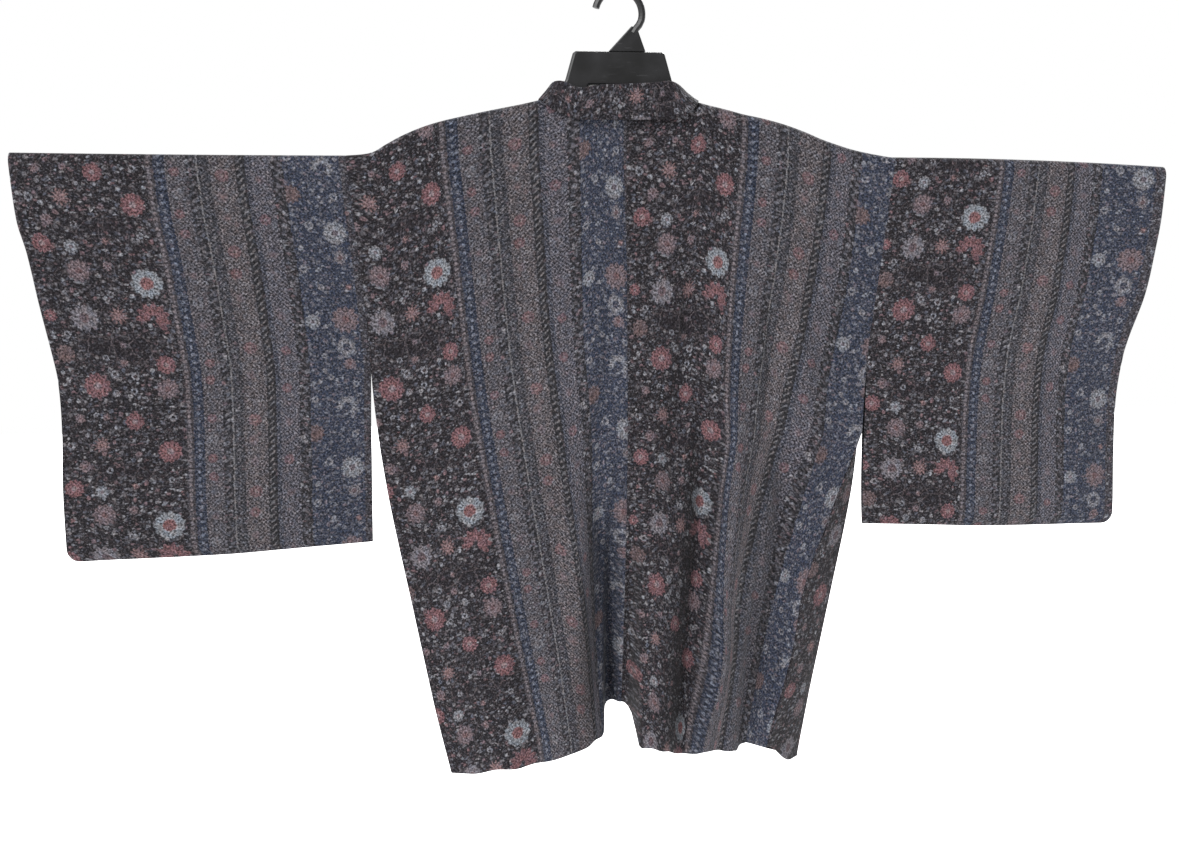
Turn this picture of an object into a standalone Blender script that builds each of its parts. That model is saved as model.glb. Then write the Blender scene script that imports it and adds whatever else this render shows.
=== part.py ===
"""Haori jacket hanging on a moulded hanger, its back turned to -Y.

The origin is where the rail touches the inside of the hook's top. Every
piece of cloth is a sheet worked out from the garment's sizes and given
its thickness by a Solidify modifier. Heights in the tables are measured
from the fold along the top of the sleeves, and distances across from the
centre back seam.
"""

import math

import bmesh
import bpy
from mathutils import Vector

# Driving sizes, in metres
WALL = 0.0016            # thickness of the cloth, with its lining
SEAM_GAP = 0.0004        # left between two pieces that are sewn together
FOLD_DROP = 0.183        # from the rail down to the top fold of the sleeves
GARMENT_X = 0.007        # the garment hangs a little off the hanger's centre
ARMHOLE_X = {-1: 0.3190, 1: 0.3250}      # centre seam to the armhole's top, left and right
NECK_X = {-1: 0.0980, 1: 0.0870}         # centre seam to the side of the neck
FOLD_RADIUS = 0.013      # roundness of the cloth over the shoulder
ARMHOLE_END_Z = -0.236   # the sleeve is sewn on down to here
GUSSET_TOP_Z = -0.33     # the side is open between the sleeve and the gusset
SLEEVE_DEPTH = 0.458     # top fold to bottom seam
WRIST_END_Z = -0.25      # the sleeve's outer edge is sewn up below this
SLEEVE_CORNER = 0.014    # radius of the sleeve's lower outer corner
SLEEVE_TAPER = 0.060     # height above the bottom seam where the two layers close in
SEWN_HALF = 0.0028       # half the distance between two layers sewn together
COLLAR_LAP = 0.0065      # how far the folded collar covers its own seam
COLLAR_WIDTH = 0.050     # seam to fold on the fronts
COLLAR_TOP_WIDTH = 0.036 # the same, where the collar comes over the shoulder
COLLAR_WIDENING = 0.090  # the length it takes to reach its full width
COLLAR_RISE = 0.0042     # how far the collar's outer layer stands off
SEAM_STRIP = 0.0020      # the two backs lie flat along their seam for this much
NECK_BLEND = 0.035       # the back takes its own depth this far below the neck
WELD = 0.00001           # points closer than this are one point

# How finely the sheets are divided
NECK_COLUMNS = 9         # from the centre to the side of the neck
SIDE_COLUMNS = 12        # from the neck to the side
BACK_ROWS = 20
FRONT_ROWS = 17
SLEEVE_COLUMNS = 9
WRIST_ROWS = 7           # from the sleeve's top fold to the end of the wrist opening
FRONT_COLLAR_ROWS = 12
COLLAR_SPACING = 1.15    # the collar's rows are closer together near the shoulder
GUSSET_ROWS = 14
HOOK_STEPS = 22
SHOULDER_DEPTHS = (0.0, 0.0015, 0.004, 0.008, FOLD_RADIUS)
LOW_SLEEVE_DEPTHS = (0.29, 0.33, 0.37, 0.405, 0.430, 0.444, 0.453, SLEEVE_DEPTH)
PANEL_DEPTH = 0.79       # the length that the rows of the body are spaced on

# Shares of a panel's width
BACK_TURN = 0.62         # from here the back turns towards its side edge
FRONT_TURN = 0.50        # and the front
FRONT_START = 0.25       # the front's folds have their whole depth from here
SLEEVE_FILL = 0.30       # the sleeve has its own depth from here
CUFF_TURN = 0.80         # and from here it turns towards its outer edge

# Shares of the collar's height and thickness
COLLAR_UP = (0.30, 0.62, 0.88)           # points on the way up to the fold
COLLAR_ROUND = (0.25, 0.50, 0.75)        # points round it
COLLAR_DOWN = (0.33, 0.66, 1.0)          # points on the way down
COLLAR_SHOULDER = 0.88   # the height where the fold's rounding starts
COLLAR_SPREAD = 0.80     # how much of its thickness it has there

# Hanger
HANGER_THICKNESS = 0.011
HANGER_EDGE = 0.0025     # rounding of the moulding's edges
BLOCK_TOP_Z = 0.118      # the block in the middle that carries the hook
BLOCK_BOTTOM_Z = 0.080
HOOK_RADIUS = 0.0270     # to the middle of the rod
HOOK_CENTRE_Z = 0.1600
HOOK_TIP_ANGLE = 167     # the hook's arc, in degrees from +X
HOOK_END_ANGLE = -14
ROD_RADIUS = 0.0041
FIN_THICKNESS = 0.0060
FIN_EDGE = 0.0010
BEVEL_FROM = 60          # edges sharper than this, in degrees, are rounded

CLOTH_COLOUR = (0.065, 0.060, 0.070, 1.0)
COLLAR_COLOUR = (0.055, 0.048, 0.055, 1.0)
HANGER_COLOUR = (0.022, 0.022, 0.026, 1.0)


def table(names, *rows):
    """A table with named columns; its first column says where a row applies."""
    return {name: [row[i] for row in rows] for i, name in enumerate(names.split())}


SIDE_NAME = {-1: "left", 1: "right"}

# Top line of the shoulders, from the neck to the armhole
SHOULDER = table(
    "x left right",
    (0.0860, 0.0655, 0.0620), (0.0980, 0.0630, 0.0590), (0.1200, 0.0580, 0.0540),
    (0.1400, 0.0540, 0.0490), (0.1650, 0.0490, 0.0440), (0.1900, 0.0435, 0.0375),
    (0.2150, 0.0375, 0.0290), (0.2350, 0.0310, 0.0210), (0.2550, 0.0225, 0.0145),
    (0.2720, 0.0135, 0.0095), (0.2900, 0.0035, 0.0055), (0.3190, 0.0000, 0.0005),
    (0.3250, 0.0000, 0.0000),
)

# Half the width of the body; the armhole seam runs along the top of it
SIDE = table(
    "z left right",
    (-0.764, 0.2125, 0.2342), (-0.735, 0.2185, 0.2382), (-0.665, 0.2335, 0.2485),
    (-0.595, 0.2465, 0.2600), (-0.520, 0.2600, 0.2722), (-0.455, 0.2720, 0.2828),
    (-0.400, 0.2815, 0.2902), (-0.350, 0.2885, 0.2938), (-0.300, 0.2940, 0.2958),
    (-0.270, 0.2965, 0.2970), (-0.236, 0.2985, 0.2990), (-0.180, 0.3020, 0.3045),
    (-0.120, 0.3070, 0.3115), (-0.060, 0.3130, 0.3185), (0.000, 0.3190, 0.3250),
)

# Inner edge of a sleeve below the armhole
SLEEVE_EDGE = table(
    "z left right",
    (-0.470, 0.3035, 0.3020), (-0.400, 0.3025, 0.2995), (-0.350, 0.3015, 0.2990),
    (-0.300, 0.3008, 0.2990), (-0.270, 0.2998, 0.2990), (-0.236, 0.2989, 0.2994),
)

# Half the thickness of the hanging cloth: in the middle of the back and the
# front, and along the armhole
THICKNESS = table(
    "z back front armhole",
    (-0.760, 0.0350, 0.0380, 0.0040), (-0.600, 0.0320, 0.0350, 0.0040),
    (-0.400, 0.0270, 0.0300, 0.0040), (-0.236, 0.0220, 0.0240, 0.0065),
    (-0.150, 0.0185, 0.0200, 0.0100), (-0.050, 0.0150, 0.0155, 0.0105),
    (0.060, 0.0135, 0.0135, 0.0105),
)

# Lower edge of the back, from the left side to the right
BACK_HEM = table(
    "x z",
    (-0.222, -0.738), (-0.190, -0.7385), (-0.160, -0.731), (-0.130, -0.730),
    (-0.100, -0.7245), (-0.060, -0.7115), (-0.044, -0.7045), (-0.0355, -0.697),
    (-0.020, -0.680), (0.000, -0.679), (0.0110, -0.6825), (0.0185, -0.7060),
    (0.026, -0.7155), (0.046, -0.7248), (0.076, -0.7335), (0.088, -0.731),
    (0.100, -0.724), (0.118, -0.7215), (0.1356, -0.7255), (0.1485, -0.7205),
    (0.160, -0.7236), (0.180, -0.7335), (0.222, -0.746),
)
HEM_Z = -0.737           # the hem, where it is level
FRONT_HEM = {-1: -0.740, 1: -0.762}      # the front's hem at its side edge

# Where the gusset's two long edges run at the hem: how far in from the
# body's outline, and how deep
GUSSET_HEM = {
    -1: {"back_in": 0.000, "back_y": -0.010, "front_in": 0.035, "front_y": 0.042},
    1: {"back_in": 0.045, "back_y": -0.012, "front_in": 0.000, "front_y": 0.032},
}
GUSSET_TOP_HALF = 0.007
GUSSET_INSET = 0.0019    # from the panels' edges to the gusset's own
GUSSET_BULGE = 0.0025

# Folds that deepen from where they start down to the hem; a positive depth
# goes into the garment, and a higher steepness has a flat floor
FOLD_COLUMNS = "x_top x_hem width depth start growth steepness"
BACK_FOLDS = table(
    FOLD_COLUMNS,
    (0.000, -0.010, 0.0240, 0.0750, -0.30, 1.7, 4),
    (0.088, 0.076, 0.0240, 0.0200, -0.12, 1.0, 2),
    (0.125, 0.122, 0.0280, -0.0100, -0.15, 1.0, 2),
    (0.165, 0.149, 0.0140, 0.0150, -0.50, 1.0, 2),
    (-0.060, -0.048, 0.0180, -0.0070, -0.35, 1.0, 2),
    (-0.140, -0.116, 0.0180, 0.0080, -0.45, 1.0, 2),
    (-0.200, -0.165, 0.0280, -0.0050, -0.25, 1.0, 2),
)
FRONT_FOLDS = table(
    FOLD_COLUMNS,
    (0.170, 0.125, 0.0270, 0.0120, -0.15, 1.0, 2),
    (0.230, 0.165, 0.0240, -0.0080, -0.20, 1.0, 2),
    (-0.165, -0.120, 0.0250, 0.0110, -0.12, 1.0, 2),
    (-0.220, -0.155, 0.0230, -0.0070, -0.25, 1.0, 2),
)

# Outer edge of a sleeve, and half the distance between its two layers there
CUFF = table(
    "z left right half",
    (-0.470, 0.6500, 0.6345, 0.0028), (-0.440, 0.6500, 0.6345, 0.0028),
    (-0.375, 0.6490, 0.6310, 0.0028), (-0.300, 0.6450, 0.6290, 0.0028),
    (-0.250, 0.6455, 0.6340, 0.0030), (-0.220, 0.6490, 0.6400, 0.0055),
    (-0.165, 0.6575, 0.6560, 0.0095), (-0.105, 0.6665, 0.6655, 0.0110),
    (-0.070, 0.6745, 0.6700, 0.0110), (0.010, 0.6800, 0.6745, 0.0095),
)
SLEEVE_HALF = 0.0115     # half the distance between the layers in the middle
SLEEVE_TOP = {-1: 0.002, 1: -0.0105}     # height of the upper corner
SLEEVE_BOTTOM = table(
    "across z",
    (0.0, -0.4475), (0.3, -0.4530), (0.5, -0.4565), (1.0, -0.4585),
)

# The collar's seam, its fold and its outer edge, from the centre back to the
# shoulder; the middle of the collar sits over the hanger's middle
COLLAR_COLUMNS = "seam_x seam_y seam_z fold_x fold_y fold_z edge_x edge_y edge_z"
COLLAR_NECK = {
    -1: table(
        COLLAR_COLUMNS,
        (0.0000, -0.0215, 0.0520, 0.0000, -0.0195, 0.0765, 0.0000, -0.0285, 0.0430),
        (0.0300, -0.0212, 0.0525, 0.0290, -0.0190, 0.0780, 0.0320, -0.0282, 0.0435),
        (0.0580, -0.0195, 0.0550, 0.0540, -0.0170, 0.0825, 0.0620, -0.0270, 0.0450),
        (0.0800, -0.0145, 0.0590, 0.0710, -0.0120, 0.0842, 0.0870, -0.0235, 0.0530),
        (0.0930, -0.0080, 0.0625, 0.0795, -0.0065, 0.0832, 0.1010, -0.0155, 0.0615),
        (0.0980, 0.0000, 0.0645, 0.0825, 0.0010, 0.0802, 0.1075, 0.0000, 0.0675),
    ),
    1: table(
        COLLAR_COLUMNS,
        (0.0000, -0.0215, 0.0520, 0.0000, -0.0195, 0.0765, 0.0000, -0.0285, 0.0430),
        (0.0300, -0.0212, 0.0525, 0.0270, -0.0190, 0.0785, 0.0310, -0.0282, 0.0437),
        (0.0540, -0.0195, 0.0545, 0.0480, -0.0170, 0.0825, 0.0570, -0.0270, 0.0450),
        (0.0720, -0.0150, 0.0575, 0.0590, -0.0135, 0.0818, 0.0760, -0.0245, 0.0515),
        (0.0830, -0.0085, 0.0610, 0.0655, -0.0075, 0.0770, 0.0895, -0.0160, 0.0605),
        (0.0870, 0.0000, 0.0638, 0.0700, 0.0010, 0.0735, 0.0965, 0.0000, 0.0665),
    ),
}
# Its course from the shoulder to the front, with the distances across taken
# from the side of the neck
COLLAR_TURN = table(
    COLLAR_COLUMNS,
    (-0.0007, 0.0070, 0.0000, -0.0145, 0.0080, 0.0140, 0.0100, 0.0100, 0.0030),
    (-0.0007, 0.0112, -0.0045, -0.0165, 0.0125, 0.0085, 0.0095, 0.0165, -0.0025),
    (-0.0007, 0.0137, -0.0165, -0.0220, 0.0160, -0.0105, 0.0070, 0.0190, -0.0165),
)
COLLAR_FRONT_DROP = 0.040  # below the side of the neck the collar lies flat
NECK_STEP = 0.0017       # from the collar's seam line down to the body's edge

# Half of the hanger's outline, from the middle of its top edge round to the
# middle of the opening's upper edge
HANGER_OUTLINE = table(
    "x z",
    (0.0000, BLOCK_TOP_Z), (0.0500, BLOCK_TOP_Z), (0.0530, 0.1160), (0.0615, 0.0870),
    (0.0700, 0.0700), (0.0790, 0.0590), (0.0900, 0.0560), (0.1400, 0.0455),
    (0.1900, 0.0345), (0.2080, 0.0280), (0.2110, 0.0220), (0.2070, 0.0165),
    (0.1900, 0.0170), (0.1400, 0.0260), (0.0800, 0.0370), (0.0580, 0.0480),
    (0.0440, 0.0640), (0.0350, BLOCK_BOTTOM_Z), (0.0000, BLOCK_BOTTOM_Z),
)
FIN_OUTLINE = table(
    "x z",
    (-0.0120, 0.1183), (0.0150, 0.1470), (0.0225, 0.1410), (0.0310, 0.1183),
)
# From the end of the hook's arc down into the fin
ROD_END = table(
    "x z",
    (0.0235, 0.1480), (0.0195, 0.1435), (0.0165, 0.1390),
)


def read(rows, name, at):
    """The value in a named column where the table's first column is at."""
    keys = next(iter(rows.values()))
    values = rows[name]
    if at <= keys[0]:
        return values[0]
    if at >= keys[-1]:
        return values[-1]
    i = next(k for k in range(len(keys) - 1) if at <= keys[k + 1])
    step = keys[i + 1] - keys[i]
    t = (at - keys[i]) / step

    def slope(k):
        low = max(k - 1, 0)
        high = min(k + 1, len(keys) - 1)
        return (values[high] - values[low]) / (keys[high] - keys[low])

    rise = values[i + 1] - values[i]
    start = slope(i) * step
    end = slope(i + 1) * step
    curve = (start + end - 2 * rise) * t + (3 * rise - 2 * start - end)
    return values[i] + (curve * t + start) * t


def ease(t):
    """0 to 1 with soft ends."""
    t = min(max(t, 0.0), 1.0)
    return t * t * (3 - 2 * t)


def mix(a, b, t):
    """The value at t on the way from a to b."""
    return a + (b - a) * t


def rounded(depth):
    """How far the cloth has come round the shoulder, from 0 to 1."""
    if depth >= FOLD_RADIUS:
        return 1.0
    return math.sqrt(1 - (1 - depth / FOLD_RADIUS) ** 2)


def depths(total, rows):
    """Distances down from a fold: close together round it, then even."""
    step = (total - FOLD_RADIUS) / rows
    return [*SHOULDER_DEPTHS, *(FOLD_RADIUS + step * (k + 1) for k in range(rows))]


def folds(rows, x, z):
    """Depth of all the folds of a table at one place."""
    total = 0.0
    for x_top, x_hem, width, depth, start, growth, steepness in zip(*rows.values()):
        if z < start:
            down = (start - z) / (start - HEM_Z)
            across = abs(x - mix(x_top, x_hem, down)) / width
            total += depth * down ** growth * math.exp(-across ** steepness)
    return total


def gusset_share(z):
    """How far down the gusset a height is, from 0 at its top to 1 at the hem."""
    return max((GUSSET_TOP_Z - z) / (GUSSET_TOP_Z - HEM_Z), 0.0)


def back_side(side, z):
    """Across and depth of the back's side edge."""
    share = gusset_share(z)
    hem = GUSSET_HEM[side]
    x = read(SIDE, SIDE_NAME[side], z) - hem["back_in"] * share
    edge_y = mix(-GUSSET_TOP_HALF, hem["back_y"], share)
    if z > ARMHOLE_END_Z:
        edge_y = -read(THICKNESS, "armhole", z)
    elif z > GUSSET_TOP_Z:
        blend = (z - GUSSET_TOP_Z) / (ARMHOLE_END_Z - GUSSET_TOP_Z)
        edge_y = mix(-GUSSET_TOP_HALF, -read(THICKNESS, "armhole", ARMHOLE_END_Z), blend)
    return x, edge_y


def front_side(side, z):
    """Across and depth of the front's side edge."""
    share = gusset_share(z)
    hem = GUSSET_HEM[side]
    x = read(SIDE, SIDE_NAME[side], z) - hem["front_in"] * share
    edge_y = mix(GUSSET_TOP_HALF, hem["front_y"], share)
    if z > GUSSET_TOP_Z:
        edge_y = -back_side(side, z)[1]
    return x, edge_y


def back_hem(side, reach):
    """Height of the back's hem, for a column at this reach."""
    hem_x = back_side(side, HEM_Z)[0] * reach / ARMHOLE_X[side]
    return read(BACK_HEM, "z", side * hem_x)


def back_point(side, column, depth_share, depth):
    """A point of the back: column 0 is the centre seam."""
    reach = column_reach(side, column)
    top_z = shoulder_top(side, reach)
    hem_z = back_hem(side, reach)
    z = mix(top_z, hem_z, depth_share)
    edge_x, edge_y = back_side(side, z)
    across = reach / ARMHOLE_X[side]
    x = edge_x * across
    towards_side = ease((across - BACK_TURN) / (1 - BACK_TURN))
    y = mix(-read(THICKNESS, "back", z), edge_y, towards_side)
    fold_x = 0.0 if reach <= SEAM_STRIP else side * x
    y += folds(BACK_FOLDS, fold_x, z) * (1 - towards_side)
    y *= rounded(depth)
    if reach < NECK_X[side]:
        neck_y = read(COLLAR_NECK[side], "seam_y", reach)
        y = mix(neck_y, y, ease(depth / NECK_BLEND))
    x = max(x, SEAM_GAP / 2)
    return place(side * x, y, z)


def front_point(side, column, depth_share, depth):
    """A point of the front: its first column is the collar's seam."""
    reach = column_reach(side, column)
    top_z = shoulder_top(side, reach)
    across = (reach - NECK_X[side]) / (ARMHOLE_X[side] - NECK_X[side])
    z = mix(top_z, mix(HEM_Z, FRONT_HEM[side], across), depth_share)
    edge_x, edge_y = front_side(side, z)
    x = mix(NECK_X[side], edge_x, across)
    towards_side = ease((across - FRONT_TURN) / (1 - FRONT_TURN))
    y = mix(read(THICKNESS, "front", z), edge_y, towards_side)
    y -= folds(FRONT_FOLDS, side * x, z) * (1 - towards_side) * ease(across / FRONT_START)
    y *= rounded(depth)
    return place(side * x, y, z)


def column_reach(side, column):
    """Distance of a column from the centre seam along the shoulder."""
    if column == 0:
        return 0.0
    if column <= NECK_COLUMNS:
        return mix(SEAM_STRIP, NECK_X[side], (column - 1) / (NECK_COLUMNS - 1))
    return mix(NECK_X[side], ARMHOLE_X[side], (column - NECK_COLUMNS) / SIDE_COLUMNS)


def shoulder_top(side, reach):
    """Height of the body's upper edge: the neck's seam, then the shoulder."""
    if reach < NECK_X[side]:
        return read(COLLAR_NECK[side], "seam_z", reach) - NECK_STEP
    return read(SHOULDER, SIDE_NAME[side], reach)


def place(x, y, z):
    """From the garment's own measures to the hanging part's frame."""
    return (GARMENT_X + x, y, z - FOLD_DROP)


def make_material(name, colour, roughness):
    """A plain non-metallic material."""
    material = bpy.data.materials.new(name)
    material.use_nodes = True
    shader = material.node_tree.nodes["Principled BSDF"]
    shader.inputs["Base Color"].default_value = colour
    shader.inputs["Roughness"].default_value = roughness
    shader.inputs["Metallic"].default_value = 0.0
    return material


def add_mesh(name, points, faces, material, collection):
    """A sheet from its points and faces, with all its faces turned one way."""
    mesh = bpy.data.meshes.new(name)
    mesh.from_pydata(points, [], faces)
    work = bmesh.new()
    work.from_mesh(mesh)
    bmesh.ops.remove_doubles(work, verts=work.verts, dist=WELD)
    bmesh.ops.recalc_face_normals(work, faces=work.faces)
    work.to_mesh(mesh)
    work.free()
    mesh.shade_smooth()
    mesh.materials.append(material)
    piece = bpy.data.objects.new(name, mesh)
    collection.objects.link(piece)
    return piece


def thicken(piece):
    """Give a sheet the thickness of the cloth, half of it to each side."""
    modifier = piece.modifiers.new("Cloth", "SOLIDIFY")
    modifier.thickness = WALL
    modifier.offset = 0.0
    modifier.use_even_offset = True
    modifier.use_rim = True
    return piece


def grid_faces(first, rows, columns):
    """Quads of a grid whose points are numbered row by row."""
    faces = []
    for r in range(rows - 1):
        for c in range(columns - 1):
            a = first + r * columns + c
            faces.append((a, a + 1, a + columns + 1, a + columns))
    return faces


def add_body_panel(side, material, collection):
    """One length of cloth: back hem, over the shoulder, front hem."""
    last = NECK_COLUMNS + SIDE_COLUMNS
    back_rows = depths(PANEL_DEPTH, BACK_ROWS)
    front_rows = depths(PANEL_DEPTH, FRONT_ROWS)
    points = []
    for depth in back_rows:
        for column in range(last + 1):
            points.append(back_point(side, column, depth / PANEL_DEPTH, depth))
    faces = grid_faces(0, len(back_rows), last + 1)
    first = len(points)
    for depth in front_rows:
        for column in range(NECK_COLUMNS, last + 1):
            points.append(front_point(side, column, depth / PANEL_DEPTH, depth))
    faces += grid_faces(first, len(front_rows), SIDE_COLUMNS + 1)
    return thicken(add_mesh(f"body_{SIDE_NAME[side]}", points, faces, material, collection))


def sleeve_half(across, z, depth, height):
    """Half the distance between a sleeve's two layers."""
    inner = read(THICKNESS, "armhole", z)
    outer = read(CUFF, "half", z)
    half = mix(inner, SLEEVE_HALF, ease(across / SLEEVE_FILL))
    half = mix(half, outer, ease((across - CUFF_TURN) / (1 - CUFF_TURN)))
    taper = min(height / SLEEVE_TAPER, 1.0)
    low = math.sqrt(1 - (1 - taper) ** 2)
    return mix(SEWN_HALF / 2, half, low) * rounded(depth)


def sleeve_point(side, layer, column, depth):
    """A point of a sleeve; layer is -1 at the back and 1 at the front."""
    across = column / SLEEVE_COLUMNS
    top_z = SLEEVE_TOP[side] * across ** 2
    bottom_z = read(SLEEVE_BOTTOM, "z", across)
    z = top_z - depth * (top_z - bottom_z) / SLEEVE_DEPTH
    height = max(z - bottom_z, 0.0)
    if z > ARMHOLE_END_Z:
        seam_x = read(SIDE, SIDE_NAME[side], z) + SEAM_GAP
    else:
        seam_x = read(SLEEVE_EDGE, SIDE_NAME[side], z)
    end_x = read(CUFF, SIDE_NAME[side], z)
    if height < SLEEVE_CORNER:
        end_x -= SLEEVE_CORNER - math.sqrt(SLEEVE_CORNER ** 2 - (SLEEVE_CORNER - height) ** 2)
    x = mix(seam_x, end_x, across)
    y = layer * sleeve_half(across, z, depth, height)
    return place(side * x, y, z)


def add_sleeve(side, material, collection):
    """A bag: folded at the top, sewn below and below the wrist opening."""
    rows = [*depths(-WRIST_END_Z, WRIST_ROWS), *LOW_SLEEVE_DEPTHS]
    sewn_row = rows.index(LOW_SLEEVE_DEPTHS[0]) - 1
    columns = SLEEVE_COLUMNS + 1
    points = []
    for layer in (-1, 1):
        for depth in rows:
            for column in range(columns):
                points.append(sleeve_point(side, layer, column, depth))
    count = len(rows) * columns
    faces = grid_faces(0, len(rows), columns) + grid_faces(count, len(rows), columns)
    for c in range(columns - 1):
        a = (len(rows) - 1) * columns + c
        faces.append((a, a + 1, a + 1 + count, a + count))
    for r in range(sewn_row, len(rows) - 1):
        a = r * columns + SLEEVE_COLUMNS
        faces.append((a, a + columns, a + columns + count, a + count))
    return thicken(add_mesh(f"sleeve_{SIDE_NAME[side]}", points, faces, material, collection))


def collar_section(seam, fold, edge):
    """Points across the collar: up from its seam, round the fold and down."""
    seam = Vector(seam)
    along = Vector(fold) - seam
    out = Vector(edge) - seam
    off = (out - out.project(along)) * COLLAR_SPREAD
    section = [seam]
    section += [seam + along * t for t in COLLAR_UP]
    for turn in COLLAR_ROUND:
        angle = math.pi * turn
        rise = mix(COLLAR_SHOULDER, 1.0, math.sin(angle))
        section.append(seam + along * rise + off * (1 - math.cos(angle)) / 2)
    top = seam + along * COLLAR_SHOULDER + off
    section.append(top)
    section += [top.lerp(Vector(edge), t) for t in COLLAR_DOWN]
    return section


def collar_stations(side):
    """Seam, fold and edge from the centre back round to one hem."""
    stations = []
    for row in zip(*COLLAR_NECK[side].values()):
        stations.append((row[0:3], row[3:6], row[6:9]))
    neck_x = NECK_X[side]
    neck_z = shoulder_top(side, neck_x)
    for row in zip(*COLLAR_TURN.values()):
        moved = [value + (neck_x, 0.0, neck_z)[i % 3] for i, value in enumerate(row)]
        stations.append((tuple(moved[0:3]), tuple(moved[3:6]), tuple(moved[6:9])))
    start_z = neck_z - COLLAR_FRONT_DROP
    for k in range(FRONT_COLLAR_ROWS):
        t = k / (FRONT_COLLAR_ROWS - 1)
        z = mix(start_z, HEM_Z, t ** COLLAR_SPACING)
        y = read(THICKNESS, "front", z)
        seam_x = neck_x - SEAM_GAP
        width = mix(COLLAR_TOP_WIDTH, COLLAR_WIDTH, ease((start_z - z) / COLLAR_WIDENING))
        stations.append((
            (seam_x, y, z),
            (seam_x - width, y, z),
            (seam_x + COLLAR_LAP, y + COLLAR_RISE, z),
        ))
    return stations


def add_collar(material, collection):
    """One strip from the left hem round the neck to the right hem."""
    sections = []
    for seam, fold, edge in reversed(collar_stations(-1)[1:]):
        flip = [(-p[0], p[1], p[2]) for p in (seam, fold, edge)]
        sections.append(collar_section(*flip))
    for seam, fold, edge in collar_stations(1):
        sections.append(collar_section(seam, fold, edge))
    points = [place(*point) for section in sections for point in section]
    faces = grid_faces(0, len(sections), len(sections[0]))
    return thicken(add_mesh("collar", points, faces, material, collection))


def add_gusset(side, material, collection):
    """A wedge between the side edges of the back and the front."""
    across = (0.0, 0.5, 1.0)
    points = []
    for row in range(GUSSET_ROWS + 1):
        share = row / GUSSET_ROWS
        back_z = mix(GUSSET_TOP_Z, back_hem(side, ARMHOLE_X[side]), share)
        front_z = mix(GUSSET_TOP_Z, FRONT_HEM[side], share)
        back_x, back_y = back_side(side, back_z)
        front_x, front_y = front_side(side, front_z)
        width = math.hypot(front_x - back_x, front_y - back_y)
        inset = GUSSET_INSET / width
        for t in across:
            s = mix(inset, 1 - inset, t)
            bulge = GUSSET_BULGE * math.sin(math.pi * t) * share
            points.append(place(
                side * (mix(back_x, front_x, s) + bulge),
                mix(back_y, front_y, s),
                mix(back_z, front_z, s),
            ))
    faces = grid_faces(0, GUSSET_ROWS + 1, len(across))
    return thicken(add_mesh(f"gusset_{SIDE_NAME[side]}", points, faces, material, collection))


def add_plate(name, outline, thickness, edge, material, collection):
    """A flat outline in the XZ plane, extruded and with rounded edges."""
    work = bmesh.new()
    low = [work.verts.new((x, -thickness / 2, z - FOLD_DROP)) for x, z in outline]
    face = work.faces.new(low)
    made = bmesh.ops.extrude_face_region(work, geom=[face])
    top = [v for v in made["geom"] if isinstance(v, bmesh.types.BMVert)]
    bmesh.ops.translate(work, verts=top, vec=(0, thickness, 0))
    bmesh.ops.recalc_face_normals(work, faces=work.faces)
    mesh = bpy.data.meshes.new(name)
    work.to_mesh(mesh)
    work.free()
    mesh.materials.append(material)
    piece = bpy.data.objects.new(name, mesh)
    collection.objects.link(piece)
    bevel = piece.modifiers.new("Rounded edges", "BEVEL")
    bevel.width = edge
    bevel.segments = 2
    bevel.limit_method = "ANGLE"
    bevel.angle_limit = math.radians(BEVEL_FROM)
    return piece


def add_hanger(material, collection):
    """The arms and the block between them, the same on both sides."""
    half = list(zip(HANGER_OUTLINE["x"], HANGER_OUTLINE["z"]))
    other = [(-x, z) for x, z in reversed(half) if x > 0]
    return add_plate("hanger", half + other, HANGER_THICKNESS, HANGER_EDGE, material, collection)


def hook_route():
    """Middle line of the rod, from its tip over the top down into the fin."""
    route = []
    for k in range(HOOK_STEPS + 1):
        angle = math.radians(mix(HOOK_TIP_ANGLE, HOOK_END_ANGLE, k / HOOK_STEPS))
        x = HOOK_RADIUS * math.cos(angle)
        z = HOOK_CENTRE_Z + HOOK_RADIUS * math.sin(angle)
        route.append((x, 0.0, z - FOLD_DROP))
    for x, z in zip(ROD_END["x"], ROD_END["z"]):
        route.append((x, 0.0, z - FOLD_DROP))
    return route


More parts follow.
